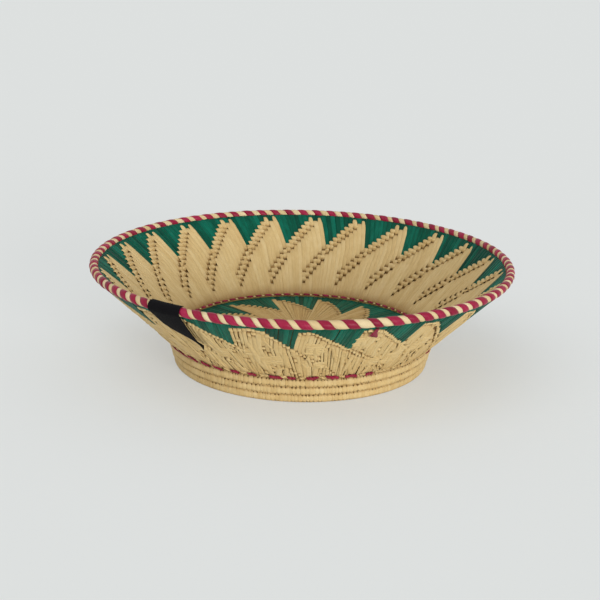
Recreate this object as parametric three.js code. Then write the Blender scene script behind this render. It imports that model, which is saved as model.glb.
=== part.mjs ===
// A coiled moonj grass basket: one long bundle of grass wound into a floor, a foot and a flaring wall,
// with flat strips of straw and dyed green straw over it and a magenta strip wound round its rim.
// Millimetres, +Z up. The origin is on the ground, under the middle of the foot.
import * as THREE from "three";

// Overall sizes
const rimDiameter = 254;
const basketHeight = 64.7;
const footDiameter = 156;

// Coils: their sections, and the least space that each leaves beside itself
const coilGap = 0.45;
const footRows = 3;
const footRowHeight = 4.9;
const footCoilThickness = 5;
const footFlatDepth = 0.5;
const footSpread = 2.7;
const floorRowWidth = 5.45;
const floorCoilThickness = 4;
const floorCoilRise = 0.5;
const wallOverhang = 1.5;
const wallRowHeight = 3.95;
const wallCoilThickness = 2.6;

// Rim: the last bundle and the strip wound round it
const rimThickness = 6.2;
const rimWrapThickness = 0.4;
const rimWrapTurns = 60;
const rimWrapShare = 0.6;
const rimWrapClearance = 0.45;
const rimSpliceAngle = 305;

// Strips that lie over the coils, and the space under each
const clearance = 0.3;
const greenStripThickness = 0.3;
const naturalStripThickness = 0.4;

// Pattern of the wall, flames inside and points outside: a drop is a distance down the wall from the
// upper ends of the green strips
const motifCount = 24;
const columnsPerMotif = 5;
const flameColumns = 10;
const firstFlameAngle = 83.1;
const flameTipDrop = 1;
const flameNotchDrop = 3.8;
const flameLeftTipDrop = 1.8;
const flameValleyDrop = 22.1;
const flameStep = 6.78;
const stitchBand = 7.2;
const flameFoot = -1.5;
const greenBelowValley = 0.8;
const pointLead = 2;
const pointTipDrop = 23.3;
const pointStep = 8;
const pointBandDrop = 2.3;

// Pattern of the floor
const petalCount = 14;
const petalColumns = 4;
const petalTipInset = 3.95;
const petalStep = 6.5;
const petalRootRadius = 8;
const petalSideGap = 1.2;
const firstPetalAngle = 131;

// Magenta stitch lines where the wall meets the floor and the foot
const stitchThickness = 1.2;
const stitchCount = 36;
const stitchWaist = 0.55;

// Woven tab folded over the rim
const labelWidth = 21;
const labelDrop = 30;
const labelThickness = 0.4;
const labelAngle = 233.1;
const labelInnerTurn = 165;
const labelColumns = 4;
const labelArcSteps = 5;

// Steps that the round forms are drawn in
const stepsPerTurn = motifCount;
const climbSteps = 2;
const rimSteps = rimWrapTurns;
const sectionSides = 6;
const facetAngle = 360 / stepsPerTurn;
const columnAngle = facetAngle / columnsPerMotif;
const facetStart = firstFlameAngle % facetAngle;

const straw = { color: 0xcdb482, roughness: 0.62, metalness: 0 };
const darkStraw = { color: 0xb99c66, roughness: 0.7, metalness: 0 };
const greenStraw = { color: 0x0f6950, roughness: 0.55, metalness: 0 };
const magentaStraw = { color: 0xa51e46, roughness: 0.45, metalness: 0 };
const blackCloth = { color: 0x17151a, roughness: 0.85, metalness: 0 };

const radians = THREE.MathUtils.degToRad;

function pointAtAngle(angle, radius, height) {
  const turned = radians(angle);
  return new THREE.Vector3(radius * Math.cos(turned), radius * Math.sin(turned), height);
}

// The coils are wound in flat facets, so a strip on them follows the chord between two facet edges.
function facetShare(angle) {
  const fromEdge = THREE.MathUtils.euclideanModulo(angle - facetStart, facetAngle);
  return Math.cos(radians(facetAngle / 2)) / Math.cos(radians(fromEdge - facetAngle / 2));
}

function signedVolume(points, faces) {
  const cross = new THREE.Vector3();
  return faces.reduce((sum, [a, b, c]) => {
    cross.crossVectors(points[b], points[c]);
    return sum + points[a].dot(cross) / 6;
  }, 0);
}

function solid(points, faces) {
  const outward = signedVolume(points, faces) > 0 ? faces : faces.map(([a, b, c]) => [a, c, b]);
  const geometry = new THREE.BufferGeometry().setFromPoints(points);
  geometry.setIndex(outward.flat());
  geometry.computeVertexNormals();
  return geometry;
}

// Rings of as many points each, joined one after the other, with flat ends or closed on themselves.
function tubeGeometry(rings, closed = false) {
  const sides = rings[0].length;
  const joints = closed ? rings.length : rings.length - 1;
  const faces = [];
  for (let ring = 0; ring < joints; ring += 1) {
    const here = ring * sides;
    const next = ((ring + 1) % rings.length) * sides;
    for (let side = 0; side < sides; side += 1) {
      const beside = (side + 1) % sides;
      faces.push([here + side, here + beside, next + beside]);
      faces.push([here + side, next + beside, next + side]);
    }
  }
  if (!closed) {
    const last = (rings.length - 1) * sides;
    for (let side = 1; side < sides - 1; side += 1) {
      faces.push([0, side + 1, side]);
      faces.push([last, last + side, last + side + 1]);
    }
  }
  return solid(rings.flat(), faces);
}

// A thin body from faces on one surface, whose corners are {angle, level}: the same faces are made
// at the lower and the upper offset, and walls close its edges.
function sheetGeometry(faces, placeAt, lowerOffset, upperOffset) {
  const numbers = new Map();
  const lower = [];
  const upper = [];
  const numberOf = ({ angle, level }) => {
    const turned = THREE.MathUtils.euclideanModulo(angle, 360);
    const key = `${turned.toFixed(4)} ${level.toFixed(4)}`;
    if (!numbers.has(key)) {
      numbers.set(key, lower.length);
      lower.push(placeAt(angle, level, lowerOffset));
      upper.push(placeAt(angle, level, upperOffset));
    }
    return numbers.get(key);
  };
  const top = faces.map((face) => face.map(numberOf));
  const count = lower.length;
  const edges = new Set(top.flatMap(([a, b, c]) => [`${a} ${b}`, `${b} ${c}`, `${c} ${a}`]));
  const walls = [];
  for (const edge of edges) {
    const [a, b] = edge.split(" ").map(Number);
    if (edges.has(`${b} ${a}`)) continue;
    walls.push([a, b, b + count], [a, b + count, a + count]);
  }
  const bottom = top.map(([a, b, c]) => [c, b, a]);
  const lifted = top.map((face) => face.map((corner) => corner + count));
  return solid([...lower, ...upper], [...bottom, ...lifted, ...walls]);
}

// Faces between two rows of corners that run upward beside each other.
function facesBetween(left, right) {
  const faces = [];
  let l = 0;
  let r = 0;
  while (l < left.length - 1 || r < right.length - 1) {
    const leftNext = l < left.length - 1 ? left[l + 1].level : Infinity;
    const rightNext = r < right.length - 1 ? right[r + 1].level : Infinity;
    if (leftNext <= rightNext) {
      faces.push([left[l], right[r], left[l + 1]]);
      l += 1;
    } else {
      faces.push([left[l], right[r], right[r + 1]]);
      r += 1;
    }
  }
  return faces;
}

// Columns {start, end, low, high} side by side, as strips of straw are, each end stepped from the next.
function columnFaces(columns, roundAll = false) {
  const edgeOf = (column, neighbour, angle) => {
    const levels = [column.low, column.high];
    for (const level of neighbour ? [neighbour.low, neighbour.high] : []) {
      if (level > column.low && level < column.high) levels.push(level);
    }
    return levels.sort((a, b) => a - b).map((level) => ({ angle, level }));
  };
  return columns.flatMap((column, index) => {
    const before = columns[index - 1] ?? (roundAll ? columns.at(-1) : undefined);
    const after = columns[index + 1] ?? (roundAll ? columns[0] : undefined);
    return facesBetween(edgeOf(column, before, column.start), edgeOf(column, after, column.end));
  });
}

// Section of a coil, in lengths along the row spacing and towards the ridge: flat on the side that
// carries the strips and ridged on the other.
function coilSection(rowSize, thickness) {
  const half = thickness / 2;
  const shoulder = half / 4;
  return [
    [-rowSize / 2, -half],
    [rowSize / 2, -half],
    [rowSize / 2, shoulder],
    [0, half],
    [-rowSize / 2, shoulder],
  ];
}

// Rows wound so far: a coil stays level and steps up to its next row just before a turn is full.
function rowsWound(turns, rise = climbSteps / stepsPerTurn) {
  const whole = Math.floor(turns + 1e-9);
  const climbed = (turns - whole - 1 + climbSteps / stepsPerTurn) / rise;
  return whole + THREE.MathUtils.clamp(climbed, 0, 1);
}

function coilRings(stops, firstAngle, centreAt, alongDirection, ridgeDirection, section) {
  return stops.map((turns) => {
    const centre = centreAt(turns);
    return section.map(([along, ridge]) => {
      const inPlane = centre
        .clone()
        .addScaledVector(alongDirection, along)
        .addScaledVector(ridgeDirection, ridge);
      return pointAtAngle(firstAngle + 360 * turns, inPlane.x, Math.max(inPlane.y, 0));
    });
  });
}

function evenStops(from, to, perTurn) {
  const count = Math.round((to - from) * perTurn);
  return Array.from({ length: count + 1 }, (_, index) => from + index / perTurn);
}

// Least distance between a coil and itself one turn on, measured on points along the section's sides.
function leastSelfGap(rings, stops) {
  const pointsPerSide = 8;
  const alongSides = (ring) =>
    ring.flatMap((corner, side) =>
      Array.from({ length: pointsPerSide }, (_, index) =>
        corner.clone().lerp(ring[(side + 1) % ring.length], index / pointsPerSide),
      ),
    );
  let least = Infinity;
  stops.forEach((turns, index) => {
    const other = stops.findIndex((stop) => Math.abs(stop - turns - 1) < 1e-6);
    if (other < 0) return;
    const later = alongSides(rings[other]);
    for (const point of alongSides(rings[index])) {
      for (const beside of later) least = Math.min(least, point.distanceTo(beside));
    }
  });
  return least * Math.cos(radians(180 / (stepsPerTurn / 2)));
}

function reportGap(name, rings, stops) {
  console.log(`${name}: least gap to itself ${leastSelfGap(rings, stops).toFixed(2)} mm`);
}

// Foot: three level rows under the edge of the floor, spreading a little as they rise
const footTurns = footRows - climbSteps / stepsPerTurn;
const footRowPitch = footRowHeight + coilGap;
const footFirstHeight = footCoilThickness / 2 - footFlatDepth;
const footFirstRadius = (footDiameter - footCoilThickness) / 2;
const footLastHeight = footFirstHeight + (footRows - 1) * footRowPitch;
const footLastRadius = footFirstRadius + footSpread;
const footTop = footLastHeight + footRowHeight / 2;

// Floor: flat rows inside the foot's top row
const floorOuterRadius = footLastRadius - footCoilThickness / 2 - coilGap;
const floorHeight = footTop + floorCoilRise - floorCoilThickness / 2;
const floorRowPitch = floorRowWidth + coilGap;
const floorLastRadius = floorOuterRadius - floorRowWidth / 2;
const floorRows = Math.floor(floorLastRadius / floorRowPitch);
const floorFirstRadius = floorLastRadius - (floorRows - 1) * floorRowPitch;
const floorTop = floorHeight + floorCoilThickness / 2;
const greenFloorTop = floorTop + clearance + greenStripThickness;

// Wall: a straight cone from the foot to the rim, measured along its middle from the first row
const rimCentre = new THREE.Vector2((rimDiameter - rimThickness) / 2, basketHeight - rimThickness / 2);
const wallFirstHeight = footTop + clearance + Math.hypot(wallRowHeight, wallCoilThickness) / 2;
const wallStart = new THREE.Vector2(footLastRadius + wallOverhang, wallFirstHeight);
const wallLength = wallStart.distanceTo(rimCentre);
const up = rimCentre.clone().sub(wallStart).normalize();
const outward = new THREE.Vector2(up.y, -up.x);
const inward = outward.clone().negate();
const wallTop = wallLength - rimThickness / 2 - clearance;
const wallRows = Math.floor((wallTop - wallRowHeight / 2) / (wallRowHeight + coilGap)) + 1;
const wallRowPitch = (wallTop - wallRowHeight / 2) / (wallRows - 1);

// Layers on the wall, as offsets from its middle
const greenLow = wallCoilThickness / 2 + clearance;
const greenHigh = greenLow + greenStripThickness;
const flameLow = greenHigh + clearance;
const flameHigh = flameLow + naturalStripThickness;

function wallPlace(side) {
  return (angle, level, offset) => {
    const place = wallStart.clone().addScaledVector(up, level).addScaledVector(side, offset);
    return pointAtAngle(angle, place.x * facetShare(angle), place.y);
  };
}

const floorPlace = (angle, level, offset) => pointAtAngle(angle, level, offset);

function part(name, geometry, finish) {
  const mesh = new THREE.Mesh(geometry, new THREE.MeshStandardMaterial(finish));
  mesh.name = name;
  return mesh;
}

function numbered(name, index) {
  return `${name}_${String(index + 1).padStart(2, "0")}`;
}

function footCoil() {
  const stops = evenStops(0, footTurns, stepsPerTurn);
  const centreAt = (turns) =>
    new THREE.Vector2(
      footFirstRadius + (footSpread / (footRows - 1)) * rowsWound(turns, 1 / stepsPerTurn),
      footFirstHeight + footRowPitch * rowsWound(turns),
    );
  const section = coilSection(footRowHeight, footCoilThickness);
  const start = facetStart + 6 * facetAngle;
  const rings = coilRings(stops, start, centreAt, new THREE.Vector2(0, 1), new THREE.Vector2(1, 0), section);
  reportGap("foot_coil", rings, stops);
  return part("foot_coil", tubeGeometry(rings), straw);
}

function floorCoil() {
  const halfSteps = stepsPerTurn / 2;
  const innerRows = Math.ceil(floorRows / 2);
  const lastTurn = floorRows - climbSteps / stepsPerTurn;
  const stops = [
    ...evenStops(0, innerRows, halfSteps),
    ...evenStops(innerRows, lastTurn, stepsPerTurn).slice(1),
  ];
  const centreAt = (turns) =>
    new THREE.Vector2(floorFirstRadius + floorRowPitch * rowsWound(turns), floorHeight);
  const section = coilSection(floorRowWidth, floorCoilThickness);
  const rings = coilRings(
    stops,
    facetStart,
    centreAt,
    new THREE.Vector2(1, 0),
    new THREE.Vector2(0, -1),
    section,
  );
  reportGap("floor_coil", rings, stops);
  return part("floor_coil", tubeGeometry(rings), darkStraw);
}

function wallCoil() {
  const stops = evenStops(0, wallRows - climbSteps / stepsPerTurn, stepsPerTurn);
  const centreAt = (turns) => wallStart.clone().addScaledVector(up, wallRowPitch * rowsWound(turns));
  const section = coilSection(wallRowHeight, wallCoilThickness);
  const start = facetStart + 8 * facetAngle;
  const rings = coilRings(stops, start, centreAt, up, outward, section);
  reportGap("wall_coil", rings, stops);
  return part("wall_coil", tubeGeometry(rings), straw);
}

function rimCoil() {
  const radius = rimThickness / 2 - rimWrapThickness - rimWrapClearance;
  const spliceGap = THREE.MathUtils.radToDeg(clearance / rimCentre.x);
  const rings = Array.from({ length: rimSteps + 1 }, (_, step) => {
    const angle = rimSpliceAngle + spliceGap / 2 + ((360 - spliceGap) * step) / rimSteps;
    return Array.from({ length: sectionSides }, (_unused, side) => {
      const around = (2 * Math.PI * side) / sectionSides;
      return pointAtAngle(
        angle,
        rimCentre.x + radius * Math.cos(around),
        rimCentre.y + radius * Math.sin(around),
      );
    });
  });
  return part("rim_coil", tubeGeometry(rings), straw);
}

function rimWrap() {
  const outer = rimThickness / 2;
  const inner = outer - rimWrapThickness;
  const turnAngle = 360 / rimWrapTurns;
  const halfWidth = (turnAngle * rimWrapShare) / 2;
  const stepAngle = turnAngle / sectionSides;
  const steps = sectionSides * rimWrapTurns - Math.ceil((2 * halfWidth + stepAngle) / stepAngle);
  const rings = Array.from({ length: steps + 1 }, (_, step) => {
    const angle = rimSpliceAngle + halfWidth + step * stepAngle;
    const around = (-2 * Math.PI * step) / sectionSides;
    const corner = (radius, side) =>
      pointAtAngle(
        angle + side * halfWidth,
        rimCentre.x + radius * Math.cos(around),
        rimCentre.y + radius * Math.sin(around),
      );
    return [corner(inner, -1), corner(inner, 1), corner(outer, 1), corner(outer, -1)];
  });
  const gap = radians(turnAngle * (1 - rimWrapShare)) * (rimCentre.x - outer);
  console.log(`rim_wrap_magenta: least gap to itself ${gap.toFixed(2)} mm`);
  return part("rim_wrap_magenta", tubeGeometry(rings), magentaStraw);
}

// Flames: strips of natural straw from each straight edge to the left, both ends stepped down
function flames() {
  const peaks = [flameTipDrop, flameNotchDrop, flameLeftTipDrop].map((drop) => wallTop - drop);
  const valley = wallTop - flameValleyDrop;
  const columns = Array.from({ length: flameColumns }, (_, index) => ({
    start: firstFlameAngle + index * columnAngle,
    end: firstFlameAngle + (index + 1) * columnAngle,
    low: Math.max(flameFoot, valley + stitchBand - flameStep * index),
    high: peaks[index] ?? valley + flameStep * (columnsPerMotif - index),
  }));
  const geometry = sheetGeometry(columnFaces(columns), wallPlace(inward), flameLow, flameHigh);
  return Array.from({ length: motifCount }, (_, index) => {
    const flame = part(numbered("flame", index), geometry, straw);
    flame.rotation.z = radians(index * facetAngle);
    return flame;
  });
}

function greenInside() {
  const columns = Array.from({ length: stepsPerTurn }, (_, index) => ({
    start: facetStart + index * facetAngle,
    end: facetStart + (index + 1) * facetAngle,
    low: wallTop - flameValleyDrop - greenBelowValley,
    high: wallTop,
  }));
  const geometry = sheetGeometry(columnFaces(columns, true), wallPlace(inward), greenLow, greenHigh);
  return part("green_band_inside", geometry, greenStraw);
}

// Points: green strips outside, longest beside each straight edge and stepped up away from it
function greenOutside() {
  const first = facetStart + pointLead * columnAngle;
  const columns = Array.from({ length: motifCount * columnsPerMotif }, (_, index) => {
    const fromEdge = columnsPerMotif - 1 - (index % columnsPerMotif);
    return {
      start: first + index * columnAngle,
      end: first + (index + 1) * columnAngle,
      low: Math.min(wallTop - pointTipDrop + pointStep * fromEdge, wallTop - pointBandDrop),
      high: wallTop,
    };
  });
  const geometry = sheetGeometry(columnFaces(columns, true), wallPlace(outward), greenLow, greenHigh);
  return part("green_points_outside", geometry, greenStraw);
}

function greenFloor() {
  const sector = facetAngle;
  const faces = Array.from({ length: stepsPerTurn }, (_, index) => [
    { angle: 0, level: 0 },
    { angle: facetStart + index * sector, level: floorOuterRadius },
    { angle: facetStart + (index + 1) * sector, level: floorOuterRadius },
  ]);
  const geometry = sheetGeometry(faces, floorPlace, floorTop + clearance, greenFloorTop);
  return part("green_floor", geometry, greenStraw);
}

// Petals: one straight side each, and stepped down to the next petal on the other
function petals() {
  const petalAngle = 360 / petalCount;
  const width = (petalAngle - petalSideGap) / petalColumns;
  const columns = Array.from({ length: petalColumns }, (_, index) => ({
    start: firstPetalAngle - (index + 1) * width,
    end: firstPetalAngle - index * width,
    low: petalRootRadius,
    high: floorOuterRadius - petalTipInset - petalStep * index,
  })).reverse();
  const bottom = greenFloorTop + clearance;
  const geometry = sheetGeometry(columnFaces(columns), floorPlace, bottom, bottom + naturalStripThickness);
  return Array.from({ length: petalCount }, (_, index) => {
    const petal = part(numbered("floor_petal", index), geometry, straw);
    petal.rotation.z = radians(-index * petalAngle);
    return petal;
  });
}

// Point at one distance from two lines, each given by a place on it and its direction away from it.
function seatBetween(firstPlace, firstAway, secondPlace, secondAway, distance) {
  const first = firstPlace.dot(firstAway) + distance;
  const second = secondPlace.dot(secondAway) + distance;
  const scale = firstAway.cross(secondAway);
  return new THREE.Vector2(
    (first * secondAway.y - second * firstAway.y) / scale,
    (second * firstAway.x - first * secondAway.x) / scale,
  );
}

// A stitched line: one strip that swells at each stitch and narrows between two.
function stitchRing(name, seat) {
  const steps = 2 * stitchCount;
  const rings = Array.from({ length: steps }, (_, step) => {
    const angle = facetStart + (360 * step) / steps;
    const radius = (stitchThickness / 2) * (step % 2 ? stitchWaist : 1);
    return [0, 1, 2, 3].map((side) => {
      const around = (Math.PI / 2) * side;
      return pointAtAngle(
        angle,
        seat.x * facetShare(angle) + radius * Math.cos(around),
        seat.y + radius * Math.sin(around),
      );
    });
  });
  return part(name, tubeGeometry(rings, true), magentaStraw);
}

function floorStitches() {
  const flameFace = wallStart.clone().addScaledVector(inward, flameHigh);
  const seat = seatBetween(
    new THREE.Vector2(0, greenFloorTop),
    new THREE.Vector2(0, 1),
    flameFace,
    inward,
    stitchThickness / 2 + clearance,
  );
  return stitchRing("floor_edge_stitches", seat);
}

function footStitches() {
  const corner = (centre, along, ridge, section, index) =>
    centre.clone().addScaledVector(along, section[index][0]).addScaledVector(ridge, section[index][1]);
  const awayFrom = (from, to) => new THREE.Vector2(to.y - from.y, from.x - to.x).normalize();
  const footSection = coilSection(footRowHeight, footCoilThickness);
  const footCentre = new THREE.Vector2(footLastRadius, footLastHeight);
  const footUp = new THREE.Vector2(0, 1);
  const footOut = new THREE.Vector2(1, 0);
  const footShoulder = corner(footCentre, footUp, footOut, footSection, 2);
  const footRidge = corner(footCentre, footUp, footOut, footSection, 3);
  const wallSection = coilSection(wallRowHeight, wallCoilThickness);
  const wallRidge = corner(wallStart, up, outward, wallSection, 3);
  const wallShoulder = corner(wallStart, up, outward, wallSection, 4);
  const seat = seatBetween(
    footRidge,
    awayFrom(footRidge, footShoulder),
    wallRidge,
    awayFrom(wallShoulder, wallRidge),
    stitchThickness / 2 + clearance,
  );
  return stitchRing("foot_edge_stitches", seat);
}

// Tab: a woven strip folded over the rim, short inside and hanging outside
function label() {
  const reach = rimThickness / 2 + clearance;
  const arcLength = radians(labelInnerTurn) * reach;
  const halfAngle = THREE.MathUtils.radToDeg(labelWidth / 2 / rimCentre.x);
  const levels = [-labelDrop, -labelDrop / 2];
  for (let step = 0; step <= labelArcSteps; step += 1) levels.push((arcLength * step) / labelArcSteps);
  const placeAt = (angle, level, offset) => {
    const around = Math.max(level, 0) / reach;
    const away = outward
      .clone()
      .multiplyScalar(Math.cos(around))
      .addScaledVector(up, Math.sin(around));
    const place = rimCentre
      .clone()
      .addScaledVector(away, reach + offset)
      .addScaledVector(up, Math.min(level, 0));
    return pointAtAngle(angle, place.x, place.y);
  };
  const faces = [];
  for (let column = 0; column < labelColumns; column += 1) {
    const left = labelAngle - halfAngle + (2 * halfAngle * column) / labelColumns;
    const right = labelAngle - halfAngle + (2 * halfAngle * (column + 1)) / labelColumns;
    faces.push(
      ...facesBetween(
        levels.map((level) => ({ angle: left, level })),
        levels.map((level) => ({ angle: right, level })),
      ),
    );
  }
  return part("label", sheetGeometry(faces, placeAt, 0, labelThickness), blackCloth);
}

const basket = new THREE.Group();
basket.add(footCoil(), floorCoil(), wallCoil());
basket.add(rimCoil(), rimWrap());
basket.add(greenInside(), ...flames(), greenOutside());
basket.add(greenFloor(), ...petals());
basket.add(floorStitches(), footStitches());
basket.add(label());

export default basket;
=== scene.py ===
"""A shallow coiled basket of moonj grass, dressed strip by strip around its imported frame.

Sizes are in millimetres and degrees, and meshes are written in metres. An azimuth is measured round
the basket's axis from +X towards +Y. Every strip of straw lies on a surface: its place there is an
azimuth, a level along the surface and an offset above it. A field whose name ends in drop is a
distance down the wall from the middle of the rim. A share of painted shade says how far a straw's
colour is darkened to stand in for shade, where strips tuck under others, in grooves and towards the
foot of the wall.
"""

from __future__ import annotations

import logging
import math
from dataclasses import dataclass, replace
from enum import Enum
from functools import cache, partial
from typing import Callable, Protocol, Sequence

import bpy
import numpy as np
from mathutils import Matrix, Vector

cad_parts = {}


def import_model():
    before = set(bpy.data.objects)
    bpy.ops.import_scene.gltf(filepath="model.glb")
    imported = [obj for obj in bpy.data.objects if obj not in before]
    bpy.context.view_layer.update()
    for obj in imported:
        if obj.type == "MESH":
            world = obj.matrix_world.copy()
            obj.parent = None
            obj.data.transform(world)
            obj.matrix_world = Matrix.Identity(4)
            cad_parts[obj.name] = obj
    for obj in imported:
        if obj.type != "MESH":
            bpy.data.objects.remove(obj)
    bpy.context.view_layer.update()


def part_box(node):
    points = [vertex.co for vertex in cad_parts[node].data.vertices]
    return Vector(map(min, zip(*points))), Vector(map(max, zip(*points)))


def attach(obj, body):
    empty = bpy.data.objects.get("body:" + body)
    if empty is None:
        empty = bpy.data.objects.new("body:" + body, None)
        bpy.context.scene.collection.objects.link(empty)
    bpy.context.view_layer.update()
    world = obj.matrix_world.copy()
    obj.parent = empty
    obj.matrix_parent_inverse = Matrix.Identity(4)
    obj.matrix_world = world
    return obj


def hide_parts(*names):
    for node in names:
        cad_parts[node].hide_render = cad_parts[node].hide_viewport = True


LOG = logging.getLogger("basket")
MM = 0.001
MOTIFS = 24
COLUMNS_PER_MOTIF = 10
COLUMNS = MOTIFS * COLUMNS_PER_MOTIF
COLUMN_ANGLE = 360 / COLUMNS

# Section of a flat strip: places across it, as shares of its half width, and their heights, as shares
# of its thickness. Its crown lies between the two middle points
STRIP_ACROSS = np.array([-1.0, -0.9, -0.4, 0.4, 0.9, 1.0])
STRIP_RISE = np.array([0.0, 0.66, 1.0, 1.0, 0.66, 0.0])
COIL_SIDES = 8
SHARP_EDGE = 55.0
NOISE_ROUGHNESS = 0.6

Array = np.ndarray
Colour = tuple[float, float, float]
Socket = bpy.types.NodeSocket
Value = Socket | float


class Slot(Enum):
    """Material slots of the record."""

    STRAW = "straw"
    DARK_STRAW = "dark_straw"
    GREEN = "green_straw"
    MAGENTA = "magenta_straw"
    CLOTH = "label_cloth"


class Side(Enum):
    """The two faces of the wall, as the sign of the way out of its middle."""

    INSIDE = -1
    OUTSIDE = 1


def numbered(name: str, count: int) -> list[str]:
    """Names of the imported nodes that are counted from 01."""
    return [f"{name}_{index + 1:02d}" for index in range(count)]


def smooth_share(value: Array, low: float, high: float) -> Array:
    """Share from 0 to 1 of the way from low to high, with soft ends."""
    share = np.clip((value - low) / (high - low), 0, 1)
    return share * share * (3 - 2 * share)


def stacked(*parts: Array | float) -> Array:
    """Parts brought to one shape and laid side by side along one more axis."""
    return np.stack(np.broadcast_arrays(*parts), axis=-1)


def polar(azimuth: Array, radius: Array, height: Array) -> Array:
    """Points at azimuths, distances from the basket's axis and heights above the ground."""
    angle = np.radians(azimuth)
    return stacked(radius * np.cos(angle), radius * np.sin(angle), height)


def linear(red: int, green: int, blue: int) -> Colour:
    """Linear colour of a screen colour, whose parts go from 0 to 255."""
    shares = (part / 255 for part in (red, green, blue))
    return tuple(s / 12.92 if s <= 0.04045 else ((s + 0.055) / 1.055) ** 2.4 for s in shares)


class Surface(Protocol):
    """What strips lie on."""

    def profile(self, level: Array, offset: Array) -> tuple[Array, Array]:
        """Radius and height at a level and an offset."""


@dataclass(frozen=True)
class Cone:
    """One face of the wall, with levels measured up along its middle from the foot."""

    start_radius: float
    start_height: float
    end_radius: float
    end_height: float
    side: Side

    @property
    def length(self) -> float:
        """Length of the middle of the wall."""
        return math.hypot(self.end_radius - self.start_radius, self.end_height - self.start_height)

    def profile(self, level: Array, offset: Array) -> tuple[Array, Array]:
        """Radius and height at a level and an offset away from the middle.

        Args:
            level: Distances up the wall.
            offset: Distances from the middle, towards this face's side.

        Returns:
            Radii and heights.
        """
        up_radius = (self.end_radius - self.start_radius) / self.length
        up_height = (self.end_height - self.start_height) / self.length
        away = self.side.value * offset
        radius = self.start_radius + up_radius * level + up_height * away
        height = self.start_height + up_height * level - up_radius * away
        return radius, height


@dataclass(frozen=True)
class Disc:
    """A flat round surface. Levels are radii, and offsets are heights above it."""

    height: float

    def profile(self, level: Array, offset: Array) -> tuple[Array, Array]:
        """Radius and height at a level and an offset."""
        return level, self.height + offset


@dataclass(frozen=True)
class Ring:
    """The skin of a coil. A level is an angle round its section: 0 on top and 90 outside.

    The squash is the section's width as a share of its height. The fullness is the power of its
    curve: 1 for an oval, and less for a squarer one.
    """

    radius: float
    height: float
    squash: float = 1.0
    fullness: float = 1.0

    def profile(self, level: Array, offset: Array) -> tuple[Array, Array]:
        """Radius and height at a place on the section.

        Args:
            level: Angles round the section.
            offset: Distances from its middle.

        Returns:
            Radii and heights.
        """
        angle = np.radians(level)
        way = (np.sin(angle), np.cos(angle))
        out, up = (np.sign(part) * np.abs(part) ** self.fullness for part in way)
        return self.radius + self.squash * offset * out, self.height + offset * up


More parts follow.
